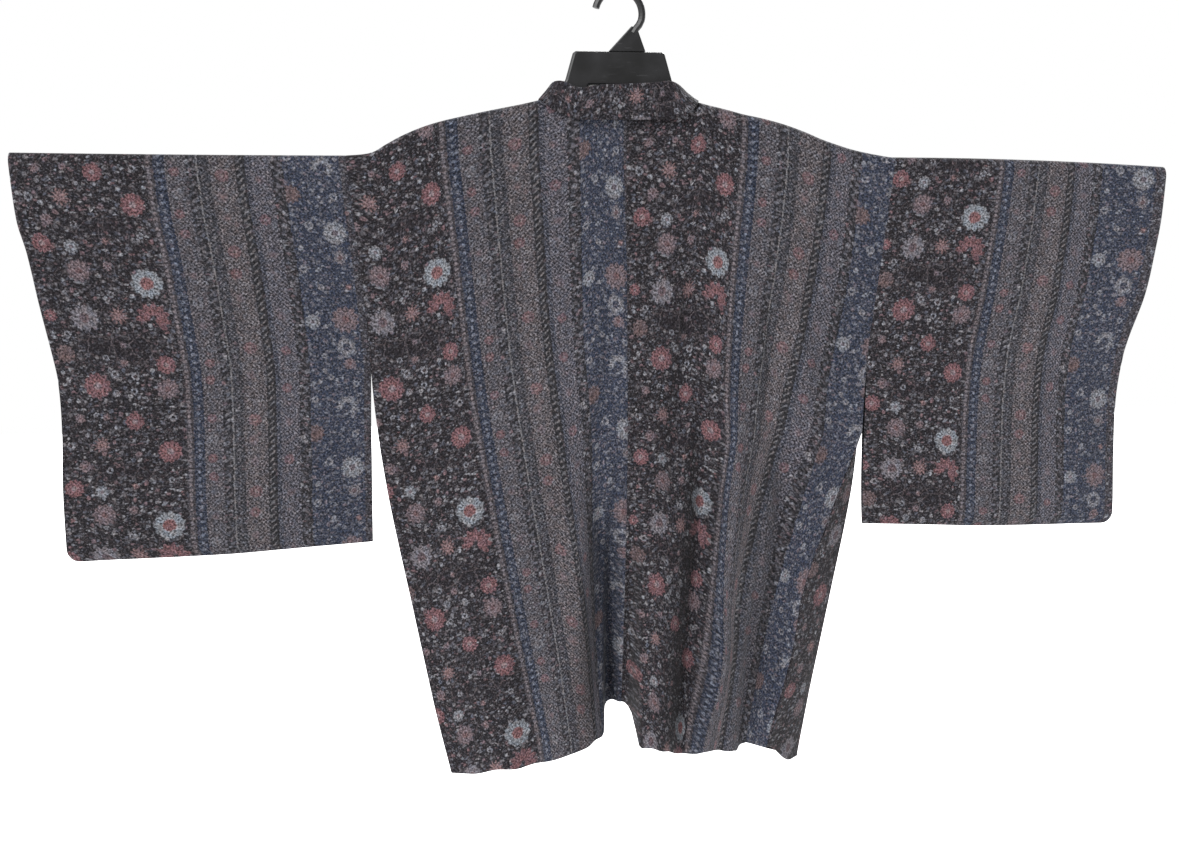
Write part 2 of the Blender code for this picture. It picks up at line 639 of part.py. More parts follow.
def add_hook(material, collection):
    """The rod and the fin that carries it, made one piece."""
    curve = bpy.data.curves.new("rod", "CURVE")
    curve.dimensions = "3D"
    curve.bevel_depth = ROD_RADIUS
    curve.bevel_resolution = 2
    curve.use_fill_caps = True
    route = hook_route()
    spline = curve.splines.new("POLY")
    spline.points.add(len(route) - 1)
    for point, place_at in zip(spline.points, route):
        point.co = (*place_at, 1.0)
    rod_curve = bpy.data.objects.new("rod_curve", curve)
    collection.objects.link(rod_curve)
    graph = bpy.context.evaluated_depsgraph_get()
    mesh = bpy.data.meshes.new_from_object(rod_curve.evaluated_get(graph))
    work = bmesh.new()
    work.from_mesh(mesh)
    bmesh.ops.remove_doubles(work, verts=work.verts, dist=WELD)
    bmesh.ops.recalc_face_normals(work, faces=work.faces)
    work.to_mesh(mesh)
    work.free()
    mesh.shade_smooth()
    mesh.materials.clear()
    mesh.materials.append(material)
    hook = bpy.data.objects.new("hanger_hook", mesh)
    hook.matrix_world = rod_curve.matrix_world
    collection.objects.link(hook)
    bpy.data.objects.remove(rod_curve)

    cutters = bpy.data.collections.new("cutters")
    bpy.context.scene.collection.children.link(cutters)
    outline = list(zip(FIN_OUTLINE["x"], FIN_OUTLINE["z"]))
    fin = add_plate("fin_form", outline, FIN_THICKNESS, FIN_EDGE, material, cutters)
    fin.hide_render = True
    fin.display_type = "WIRE"
    union = hook.modifiers.new("Fin", "BOOLEAN")
    union.operation = "UNION"
    union.solver = "EXACT"
    union.object = fin
    return hook


def main():
    """Empty the scene and add every piece of the haori and its hanger."""
    for old in list(bpy.data.objects):
        bpy.data.objects.remove(old)
    haori = bpy.data.collections.new("haori_on_hanger")
    bpy.context.scene.collection.children.link(haori)
    cloth = make_material("printed_cloth", CLOTH_COLOUR, 0.85)
    collar_cloth = make_material("collar_cloth", COLLAR_COLOUR, 0.85)
    plastic = make_material("hanger_plastic", HANGER_COLOUR, 0.45)
    for side in (-1, 1):
        add_body_panel(side, cloth, haori)
        add_sleeve(side, cloth, haori)
        add_gusset(side, cloth, haori)
    add_collar(collar_cloth, haori)
    add_hanger(plastic, haori)
    add_hook(plastic, haori)


main()
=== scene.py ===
"""Haori jacket on a moulded hanger, seen from its back, as it hangs from a rail.

The cloth pieces are thin shells on the same tables as the part's solids, with
finer rows and columns and with the garment's creases. Every cloth piece has a
UV map in metres: across the bolt from its left selvedge, and along the bolt.
The print is worked out from that map, from charts of its stripes and flowers.
"""

import math
from functools import partialmethod

import bmesh
import bpy
import numpy as np
from mathutils import Matrix, Vector


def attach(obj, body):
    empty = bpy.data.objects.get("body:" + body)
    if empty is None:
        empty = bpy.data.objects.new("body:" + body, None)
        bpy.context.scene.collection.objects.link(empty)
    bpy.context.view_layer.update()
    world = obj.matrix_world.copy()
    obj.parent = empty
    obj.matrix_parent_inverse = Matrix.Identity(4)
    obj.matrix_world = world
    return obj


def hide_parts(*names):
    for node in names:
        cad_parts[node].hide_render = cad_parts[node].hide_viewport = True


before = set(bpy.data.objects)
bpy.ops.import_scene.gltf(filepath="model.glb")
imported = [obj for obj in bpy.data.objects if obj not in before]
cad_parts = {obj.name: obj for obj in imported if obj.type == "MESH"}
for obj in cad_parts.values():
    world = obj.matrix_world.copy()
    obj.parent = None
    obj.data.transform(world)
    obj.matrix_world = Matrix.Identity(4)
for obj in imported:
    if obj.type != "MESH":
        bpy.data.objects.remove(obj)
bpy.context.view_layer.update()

# ---------------------------------------------------------------- sizes, in metres
# Heights are measured from the fold along the top of the sleeves, and
# distances across from the centre back seam.

WALL = 0.0016            # thickness of the cloth, with its lining
SEAM_GAP = 0.0004        # left between two pieces that are sewn together
FOLD_DROP = 0.183        # from the rail down to the top fold of the sleeves
GARMENT_X = 0.007        # the garment hangs a little off the hanger's centre
SIDE_NAME = {-1: "left", 1: "right"}
ARMHOLE_X = {-1: 0.3190, 1: 0.3250}
NECK_X = {-1: 0.0980, 1: 0.0870}
FOLD_RADIUS = 0.013      # roundness of the cloth over the shoulder
ARMHOLE_END_Z = -0.236   # the sleeve is sewn on down to here
GUSSET_TOP_Z = -0.33     # the side is open between the sleeve and the gusset
HEM_Z = -0.737
FRONT_HEM = {-1: -0.740, 1: -0.7655}     # the front hem's outer corner
PANEL_DEPTH = 0.79       # the length that the rows of the body are spaced on

SLEEVE_DEPTH = 0.458
SLEEVE_WIDTH = 0.345
SLEEVE_HALF = 0.0115     # half the sleeve's thickness
SLEEVE_TOP = {-1: 0.002, 1: -0.0105}     # height of its top fold at the cuff
WRIST_END_Z = -0.25      # its outer edge is sewn up below this
SLEEVE_CORNER = 0.014
SLEEVE_TAPER = 0.060     # height above the bottom seam where the layers close in
SEWN_HALF = 0.0028

COLLAR_LAP = 0.0065      # how far the folded collar covers its own seam
COLLAR_WIDTH = 0.050     # seam to fold on the fronts
COLLAR_TOP_WIDTH = 0.036 # the same, where the collar comes over the shoulder
COLLAR_WIDENING = 0.090  # the length it takes to reach its full width
COLLAR_RISE = 0.0042     # how far the collar's outer layer stands off
COLLAR_FRONT_DROP = 0.040
COLLAR_FRONT_ROWS = 12
COLLAR_SPACING = 1.15    # the collar's rows are closer together near the shoulder
COLLAR_STEP = 0.012
COLLAR_RIPPLE = 0.0006   # its fronts wave a little
COLLAR_WAVE = 0.021
NECK_STEP = 0.0017       # from the collar's seam line down to the body's edge
SEAM_STRIP = 0.0020      # the two backs lie flat along their seam for this much
NECK_BLEND = 0.035       # the back takes its own depth this far below the neck
NECK_CORNER = 0.004      # and this far, right at the side of the neck

GUSSET_TOP_HALF = 0.007
GUSSET_INSET = 0.0009
GUSSET_BULGE = 0.0025
GUSSET_RIPPLE = 0.0012
GUSSET_WAVES, GUSSET_LEAN = 17, 2        # of the ripple, down the wedge and across
GUSSET_SAG = 1.3         # how soon its hem has come to the front's height
GUSSET_MIDDLE = 0.6
GUSSET_LENGTH = 0.41
GUSSET_ROWS, GUSSET_COLUMNS = 110, 17
GUSSET_HEM = {
    -1: {"back_in": 0.000, "back_y": -0.010, "front_in": 0.035, "front_y": 0.042},
    1: {"back_in": 0.060, "back_y": -0.014, "front_in": 0.000, "front_y": 0.032},
}

ALLOWANCE = 0.006        # the cloth goes on inwards past a seam by this much
SEAM_DIP = 0.0011        # the cloth turns in by this much at a seam
SEAM_DIP_WIDTH = 0.0028
HEM_ROLL = 0.0016        # and by this much at a folded hem
HEM_ROLL_WIDTH = 0.0035
DIP_START = 0.03         # seams dip in fully this far from the shoulder's fold
TUCK_START = 0.02        # and the allowance is turned in from here,
TUCK_END = 0.01          # ending this far above the end of the sleeve's seam
CLOTH_STEP = 0.0042      # spacing of the shells' rows and columns
SHOULDER_DEPTHS = (0.0, 0.0007, 0.0015, 0.0027, 0.004, 0.006, 0.008, 0.0105, FOLD_RADIUS)
EDGE_STEPS = (0.0008, 0.0018, 0.0030)    # the columns next to a panel's edge
WELD = 0.00001           # points closer than this are one point

# Shares of a panel's width
BACK_TURN = 0.62         # from here the back turns towards its side edge
FRONT_TURN = 0.50        # and the front
FRONT_START = 0.25       # the front's folds have their whole depth from here
SLEEVE_FILL = 0.30       # the sleeve has its own depth from here
CUFF_TURN = 0.80         # and from here it turns towards its outer edge
BACK_FADE_IN, BACK_FADE_OUT = 0.04, 0.10     # creases fade out by the edges
FRONT_FADE = 0.12
SLEEVE_FADE_IN, SLEEVE_FADE_OUT = 0.08, 0.05
SLEEVE_FADE_UP = 0.05    # in metres above the bottom seam
SLEEVE_LAYERS = ((-1, 1.0), (1, 0.6))    # the front layer has shallower creases
CREASE_BEND = 0.12       # as a share of a crease's length
CREASE_START, CREASE_END = 0.3, 0.4      # a crease fades in and out along these
CREASE_NARROW, CREASE_SPREAD = 0.75, 0.7 # and widens along itself

# Shares of the collar's height and thickness
COLLAR_UP = (0.15, 0.30, 0.46, 0.62, 0.76, 0.88)
COLLAR_ROUND = (0.125, 0.25, 0.375, 0.50, 0.625, 0.75, 0.875)
COLLAR_DOWN = (0.17, 0.33, 0.50, 0.66, 0.83, 1.0)
COLLAR_SHOULDER = 0.88
COLLAR_SPREAD = 0.80


# ---------------------------------------------------------------- tables

def table(names, *rows):
    """Named columns of rows in thousandths: millimetres, or parts of a share.

    The first column says where a row applies.
    """
    return {name: [row[i] / 1000 for row in rows] for i, name in enumerate(names.split())}


# The outline
SHOULDER = table(
    "x left right",
    (86, 65.5, 62), (98, 63, 59), (120, 58, 54), (140, 54, 49), (165, 49, 44), (190, 43.5, 37.5),
    (215, 37.5, 29), (235, 31, 21), (255, 22.5, 14.5), (272, 13.5, 9.5), (290, 3.5, 5.5),
    (319, 0, 0.5), (325, 0, 0),
)
SIDE = table(
    "z left right",
    (-764, 212.5, 234.2), (-735, 218.5, 238.2), (-665, 233.5, 248.5), (-595, 246.5, 260),
    (-520, 260, 272.2), (-455, 272, 282.8), (-400, 281.5, 290.2), (-350, 288.5, 293.8),
    (-300, 294, 295.8), (-270, 296.5, 297), (-236, 298.5, 299), (-180, 302, 304.5),
    (-120, 307, 311.5), (-60, 313, 318.5), (0, 319, 325),
)
SLEEVE_EDGE = table(
    "z left right",
    (-470, 303.5, 302), (-400, 302.5, 299.5), (-350, 301.5, 299), (-300, 300.8, 299),
    (-270, 299.8, 299), (-236, 298.9, 299.4),
)
THICKNESS = table(
    "z back front armhole",
    (-760, 35, 38, 4), (-600, 32, 35, 4), (-400, 27, 30, 4), (-236, 22, 24, 6.5),
    (-150, 18.5, 20, 10), (-50, 15, 15.5, 10.5), (60, 13.5, 13.5, 10.5),
)
BACK_HEM = table(
    "x z",
    (-222, -741.5), (-190, -741), (-160, -730.2), (-130, -730), (-100, -724.7), (-60, -712.5),
    (-48, -709), (-40, -705), (-31, -703.5), (-26.2, -700), (-22.2, -694), (-18, -686.5),
    (-11, -680), (0, -677), (6, -679.5), (9.5, -683), (11.9, -696), (13.2, -712.5), (20, -713.8),
    (30, -715.5), (40, -721), (52, -727), (63, -737), (71, -742), (81, -743), (90, -739),
    (99, -728), (108, -720), (118, -721), (129, -724.5), (137, -730), (139.2, -729.6),
    (141.5, -726.2), (148, -724.8), (153, -724.5), (160, -727), (170, -729.5), (180, -731.5),
    (222, -744),
)
CUFF = table(
    "z left right half",
    (-470, 650, 634.5, 2.8), (-440, 650, 634.5, 2.8), (-375, 649, 631, 2.8),
    (-300, 645, 629, 2.8), (-250, 645.5, 634, 3), (-220, 649, 640, 5.5), (-165, 657.5, 656, 9.5),
    (-105, 666.5, 665.5, 11), (-70, 674.5, 670, 11), (10, 680, 674.5, 9.5),
)
SLEEVE_BOTTOM = table(
    "across z",
    (0, -447.5), (300, -453), (500, -456.5), (1000, -458.5),
)
# How far down the wedge of the gusset the back's edge has moved in
GUSSET_OPENING = table(
    "share in",
    (0, 0), (80, 170), (180, 380), (300, 560), (420, 720), (520, 790), (660, 780), (780, 830),
    (900, 940), (1000, 1000),
)
COLLAR_COLUMNS = "seam_x seam_y seam_z fold_x fold_y fold_z edge_x edge_y edge_z"
COLLAR_NECK = {
    -1: table(
        COLLAR_COLUMNS,
        (0, -21.5, 52, 0, -19.5, 79.5, 0, -27, 40),
        (30, -21.2, 52.5, 29, -19, 78.5, 32, -26.8, 40),
        (58, -19.5, 55, 54, -17, 75.2, 62, -25, 41.5),
        (80, -14.5, 59, 72, -12, 82.2, 84.5, -20.5, 51),
        (93, -8, 62.5, 82.5, -6.5, 82.8, 94, -13, 60), (98, 0, 64.5, 86.5, 1, 79, 97.5, 0, 65.5),
    ),
    1: table(
        COLLAR_COLUMNS,
        (0, -21.5, 52, 0, -19.5, 79.5, 0, -27, 40),
        (30, -21.2, 52.5, 27, -19, 81.2, 31, -26.8, 40.5),
        (54, -19.5, 54.5, 48, -17, 83.5, 57, -25.2, 42),
        (72, -15, 57.5, 60, -13.5, 81.2, 72.5, -21.5, 49.5),
        (83, -8.5, 61, 67.5, -7.5, 76.2, 82.5, -13.5, 58.5),
        (87, 0, 63.8, 72.5, 1, 72.2, 86.5, 0, 63.6),
    ),
}
COLLAR_TURN = table(
    COLLAR_COLUMNS,
    (-0.7, 7, 0, -12.5, 8.5, 11, 0.4, 10, 2.2), (-0.7, 11.2, -4.5, -15, 12.5, 5.5, 1.8, 16.5, -3),
    (-0.7, 13.7, -16.5, -21.5, 16, -11, 3, 19, -16.5),
)

# Folds widen from where they start down to the hem. A positive depth goes into
# the garment.
FOLD_COLUMNS = "x_top x_hem width depth start growth steepness"
BACK_FOLDS = table(
    FOLD_COLUMNS,
    (0, -6.8, 18.6, 75, -300, 1400, 6000), (88, 76, 24, 20, -120, 1000, 2000),
    (125, 122, 28, -10, -150, 1000, 2000), (165, 149, 14, 15, -500, 1000, 2000),
    (-60, -48, 18, -7, -350, 1000, 2000), (-140, -116, 18, 8, -450, 1000, 2000),
    (-200, -165, 28, -5, -250, 1000, 2000),
)
FRONT_FOLDS = table(
    FOLD_COLUMNS,
    (170, 125, 27, 12, -150, 1000, 2000), (230, 165, 24, -8, -200, 1000, 2000),
    (-165, -120, 25, 11, -120, 1000, 2000), (-220, -155, 23, -7, -250, 1000, 2000),
)

# Creases are soft troughs and ridges from one end to the other
CREASE_COLUMNS = "x0 z0 x1 z1 width depth"
BACK_CREASES = table(
    CREASE_COLUMNS,
    (70, -60, 63, -480, 13, 11), (76, -220, 101, -950, 20, 32), (114, -180, 116, -900, 13, -8),
    (150, -330, 154, -900, 7, 5), (212, -440, 206, -900, 7, 4.5), (162, -120, 188, -420, 13, 9),
    (188, -290, 186, -800, 25, 29), (192, -130, 236, -350, 12, -3.5),
    (166, -100, 284, -330, 9, 1.8), (215, -380, 198, -640, 11, -3),
    (-26, -120, -30, -480, 14, 6.5), (-44, -350, -12, -800, 21.5, 37),
    (262, -240, 236, -520, 10, 2.2), (292, -130, 230, -300, 9, 1.6),
    (285, -215, 175, -380, 8, 1.2), (100, 40, 122, -190, 13, 1.6), (180, 30, 196, -140, 10, -1.2),
    (104, -420, 98, -700, 7, -3), (128, -560, 132, -725, 6, 3.2),
    (-282, -150, -215, -330, 9, 1.6), (-288, -235, -160, -440, 8, 1.3),
    (-262, -360, -226, -620, 11, 2.2), (-110, 45, -128, -170, 12, 1.4),
    (-190, 30, -202, -190, 12, -1.3), (-86, -300, -84, -640, 10, 2.6),
    (-178, -480, -150, -722, 9, 3.4), (-212, -560, -196, -730, 7, -2.2),
)
FRONT_CREASES = table(
    CREASE_COLUMNS,
    (300, -150, 215, -330, 10, 2), (255, -250, 235, -560, 11, 3.2),
    (150, -100, 140, -400, 12, -2.4), (200, -430, 182, -720, 9, 3.6),
    (130, -500, 122, -730, 8, -2.6), (-290, -140, -205, -310, 10, 1.8),
    (-250, -280, -220, -560, 11, 3), (-140, -90, -132, -380, 12, -2.2),
    (-190, -450, -172, -710, 9, 3.4), (-128, -520, -124, -720, 8, 2.6),
)
# For the sleeves, across from the armhole (0) to the cuff (1)
SLEEVE_CREASES = {
    -1: table(
        CREASE_COLUMNS,
        (40, -60, 400, -180, 14, 1.4), (80, -260, 460, -330, 15, 1.2),
        (520, -20, 600, -250, 16, -1.4), (780, -30, 840, -230, 12, 1.8),
        (880, -150, 720, -330, 12, 1.4), (300, -360, 550, -440, 11, 1),
        (160, -120, 200, -330, 15, -1),
    ),
    1: table(
        CREASE_COLUMNS,
        (30, -80, 360, -200, 14, 1.5), (600, -30, 660, -240, 15, -1.4),
        (860, -60, 800, -260, 12, 2), (920, -190, 700, -340, 11, 1.6),
        (60, -300, 400, -360, 14, 1), (360, -380, 620, -430, 11, 1.2),
        (200, -30, 240, -300, 16, -1),
    ),
}

# The cloth's map: distance across the bolt at each panel's inner and outer edge,
# and where the guide lines of its stripes run, as shares of the way from the
# centre seam (or the armhole) outwards.
BOLT = 0.365             # width of the cloth
LIGHT_LINE = 0.1405      # across the bolt: the dark flowered stripe ends here
BLUE_LINE = 0.2795       # and the blue one begins here
GUIDES = (
    ("rose", 0.049), ("white", 0.121), ("line", 0.1425), ("strip", 0.163),
    ("braid", 0.2345), ("blue", BLUE_LINE),
)
MAP_COLUMNS = "z inner rose white line braid blue outer"
BODY_MAP = {
    -1: table(
        MAP_COLUMNS,
        (-700, 326, 885, 588, 492, 172, 138, 18), (-610, 328, 900, 622, 530, 184, 148, 20),
        (-530, 329, 910, 639, 557, 210, 154, 21), (-450, 330, 910, 664, 577, 237, 156, 23),
        (-370, 330, 912, 676, 597, 265, 149, 24), (-290, 331, 920, 684, 621, 291, 154, 27),
        (-210, 337, 933, 701, 640, 317, 173, 29), (-130, 343, 940, 716, 652, 329, 175, 32),
        (-50, 346, 940, 716, 661, 334, 171, 35), (30, 348, 940, 719, 671, 338, 171, 40),
    ),
    1: table(
        "z inner rose white line strip braid blue outer",
        (-700, 2, 149, 399, 447, 551, 608, 842, 321),
        (-610, 2, 144, 379, 455, 560, 602, 845, 324),
        (-530, 2, 151, 388, 466, 528, 584, 874, 330),
        (-450, 2, 150, 371, 446, 484, 590, 855, 334),
        (-370, 2, 143, 348, 418, 452, 610, 826, 332),
        (-290, 2, 138, 342, 397, 451, 644, 830, 326),
        (-210, 2, 136, 348, 397, 463, 692, 855, 319),
        (-130, 2, 138, 352, 402, 473, 720, 874, 315), (-50, 2, 148, 357, 412, 484, 734, 872, 316),
        (30, 2, 155, 359, 419, 490, 736, 872, 315),
    ),
}
SLEEVE_MAP = {
    -1: table(
        MAP_COLUMNS,
        (-460, 351, 878, 658, 592, 324, 198, 10), (0, 351, 865, 661, 601, 324, 195, -2),
    ),
    1: table(
        MAP_COLUMNS,
        (-460, 12, 110, 318, 373, 667, 783, 355), (-300, 12, 110, 318, 375, 661, 778, 355),
        (-150, 10, 106, 312, 377, 648, 762, 355), (0, 10, 108, 308, 378, 639, 754, 355),
    ),
}
# How far the body's weft has slipped along the bolt at two of the guide lines
SLIP = {
    -1: table(
        "z rose blue",
        (-700, 15, 24), (-200, 13, 24),
    ),
    1: table(
        "z rose blue",
        (-700, 42, 0), (-200, 10, 0),
    ),
}
ROSE_SLIP, ROSE_SLIP_WIDTH = 0.121, 0.072    # it grows from here to the left,
BLUE_SLIP, BLUE_SLIP_WIDTH = 0.250, 0.045    # and from here to the right
# Along the bolt at the top fold (the first white chrysanthemum lies at 0), and
# how much the hanging cloth has stretched
BODY_PHASE = {-1: -0.1640, 1: -0.1716}
BODY_STRETCH = {-1: 1.0, 1: 0.967}
SLEEVE_PHASE = {-1: -0.1440, 1: -0.0720}
SLEEVE_STRETCH = 1.02
COLLAR_ACROSS = 0.1275   # across the bolt at the collar's inner edge
COLLAR_ALONG = 0.0260    # along the bolt at the centre back
GUSSET_ACROSS = 0.048    # across the bolt near the gusset's middle
GUSSET_ALONG = 0.139
GUSSET_SPREAD = 1.15


# ---------------------------------------------------------------- helpers

def read(rows, name, at):
    """Values of a named column where the table's first column is at."""
    keys = np.array(next(iter(rows.values())), float)
    values = np.array(rows[name], float)
    count = np.arange(len(keys))
    low = np.maximum(count - 1, 0)
    high = np.minimum(count + 1, len(keys) - 1)
    slopes = (values[high] - values[low]) / (keys[high] - keys[low])
    i = np.clip(np.searchsorted(keys, at) - 1, 0, len(keys) - 2)
    step = keys[i + 1] - keys[i]
    t = np.clip((at - keys[i]) / step, 0.0, 1.0)
    return smooth(values[i], values[i + 1], slopes[i] * step, slopes[i + 1] * step, t)


def smooth(a, b, start, end, t):
    """From a to b with the given slopes at its ends."""
    rise = b - a
    curve = (start + end - 2 * rise) * t + (3 * rise - 2 * start - end)
    return a + (curve * t + start) * t


def ease(t):
    """0 to 1 with soft ends."""
    t = np.clip(t, 0.0, 1.0)
    return t * t * (3 - 2 * t)


def mix(a, b, t):
    return a + (b - a) * t


def rounded(depth):
    """How far the cloth has come round the shoulder, from 0 to 1."""
    left = np.clip(1 - depth / FOLD_RADIUS, 0.0, 1.0)
    return np.sqrt(1 - left ** 2)


def depths(total):
    """Distances down from a fold: close together round it, then even."""
    rows = math.ceil((total - FOLD_RADIUS) / CLOTH_STEP)
    even = np.linspace(FOLD_RADIUS, total, rows + 1)[1:]
    return np.array([*SHOULDER_DEPTHS, *even])


def crossings(length):
    """Shares of the way across, closer together by both edges."""
    count = math.ceil(length / CLOTH_STEP)
    middle = np.linspace(0.0, 1.0, count + 1)[1:-1]
    near = np.array(EDGE_STEPS) / length
    return np.array([0.0, *near, *middle, *(1 - near[::-1]), 1.0])


def folds(rows, x, z):
    """Depth of all the folds of a table at each place."""
    total = np.zeros(np.broadcast(x, z).shape)
    for x_top, x_hem, width, depth, start, growth, steepness in zip(*rows.values()):
        down = np.clip((start - z) / (start - HEM_Z), 0.0, None)
        across = np.abs(x - mix(x_top, x_hem, down)) / width
        total += depth * down ** growth * np.exp(-across ** steepness)
    return total


def creases(rows, x, z, scale=1.0):
    """Depth of the creases of a table, whose distances across may be shares."""
    total = np.zeros(np.broadcast(x, z).shape)
    for x0, z0, x1, z1, width, depth in zip(*rows.values()):
        x0, x1 = x0 * scale, x1 * scale
        run_x, run_z = x1 - x0, z1 - z0
        length = math.hypot(run_x, run_z)
        along = ((x - x0) * run_x + (z - z0) * run_z) / length ** 2
        bend = CREASE_BEND * length * np.sin(np.pi * np.clip(along, 0, 1)) * (0.5 - along)
        off = ((x - x0) * run_z - (z - z0) * run_x) / length + bend
        fade = ease(along / CREASE_START) * ease((1 - along) / CREASE_END)
        widening = width * (CREASE_NARROW + CREASE_SPREAD * np.clip(along, 0, 1))
        total += depth * fade * np.exp(-(off / widening) ** 2)
    return total


def gusset_share(z):
    return np.maximum((GUSSET_TOP_Z - z) / (GUSSET_TOP_Z - HEM_Z), 0.0)


def back_side(side, z):
    """Across and depth of the back's side edge."""
    share = gusset_share(z)
    hem = GUSSET_HEM[side]
    x = read(SIDE, SIDE_NAME[side], z) - hem["back_in"] * read(GUSSET_OPENING, "in", share)
    low_y = mix(-GUSSET_TOP_HALF, hem["back_y"], share)
    blend = (z - GUSSET_TOP_Z) / (ARMHOLE_END_Z - GUSSET_TOP_Z)
    middle_y = mix(-GUSSET_TOP_HALF, -read(THICKNESS, "armhole", ARMHOLE_END_Z), blend)
    high_y = -read(THICKNESS, "armhole", z)
    y = np.where(z > ARMHOLE_END_Z, high_y, np.where(z > GUSSET_TOP_Z, middle_y, low_y))
    return x, y


def front_side(side, z):
    """Across and depth of the front's side edge."""
    share = gusset_share(z)
    hem = GUSSET_HEM[side]
    x = read(SIDE, SIDE_NAME[side], z) - hem["front_in"] * share
    low_y = mix(GUSSET_TOP_HALF, hem["front_y"], share)
    return x, np.where(z > GUSSET_TOP_Z, -back_side(side, z)[1], low_y)


def back_hem(side, reach):
    hem_x = back_side(side, HEM_Z)[0] * reach / ARMHOLE_X[side]
    return read(BACK_HEM, "z", side * hem_x)


def shoulder_top(side, reach):
    neck = read(COLLAR_NECK[side], "seam_z", reach) - NECK_STEP
    return np.where(reach < NECK_X[side], neck, read(SHOULDER, SIDE_NAME[side], reach))


def seam_dip(distance):
    """How far the cloth has turned in at this distance from a seam."""
    return SEAM_DIP * np.exp(-(distance / SEAM_DIP_WIDTH) ** 2)


def hem_roll(distance):
    return HEM_ROLL * np.clip(1 - distance / HEM_ROLL_WIDTH, 0.0, 1.0) ** 2


def place(x, y, z):
    """From the garment's own measures to the hanging part's frame."""
    return np.stack(np.broadcast_arrays(GARMENT_X + x, y, z - FOLD_DROP), axis=-1)


def bolt_across(rows, share, z):
    """Distance across the bolt, at a share of the way out from the inner edge."""
    rising = rows["line"][0] < rows["blue"][0]
    ends = [(0.0, read(rows, "inner", z)), (1.0, read(rows, "outer", z))]
    inside = [(read(rows, name, z), at) for name, at in GUIDES if name in rows]
    marks = [ends[0], *(inside if rising else inside[::-1]), ends[1]]
    result = 0 * share * z
    for (a, at_a), (b, at_b) in zip(marks, marks[1:]):
        result = np.where(share >= a, mix(at_a, at_b, (share - a) / (b - a)), result)
    return result


def slipped(side, u, z):
    """How far the cloth has slipped along itself there."""
    rose = np.clip((ROSE_SLIP - u) / ROSE_SLIP_WIDTH, 0.0, 1.0) ** 1.5
    blue = np.clip((u - BLUE_SLIP) / BLUE_SLIP_WIDTH, 0.0, 1.0)
    return read(SLIP[side], "rose", z) * rose + read(SLIP[side], "blue", z) * blue


# ---------------------------------------------------------------- the shells

def grid_faces(first, rows, columns, flip):
    """Quads of a grid whose points are numbered row by row."""
    a = first + np.arange((rows - 1) * columns).reshape(rows - 1, columns)[:, :-1].ravel()
    faces = np.stack([a, a + 1, a + columns + 1, a + columns], axis=1)
    return faces[:, ::-1] if flip else faces


def as_coords(u, v):
    return np.stack(np.broadcast_arrays(u, v), axis=-1).reshape(-1, 2)


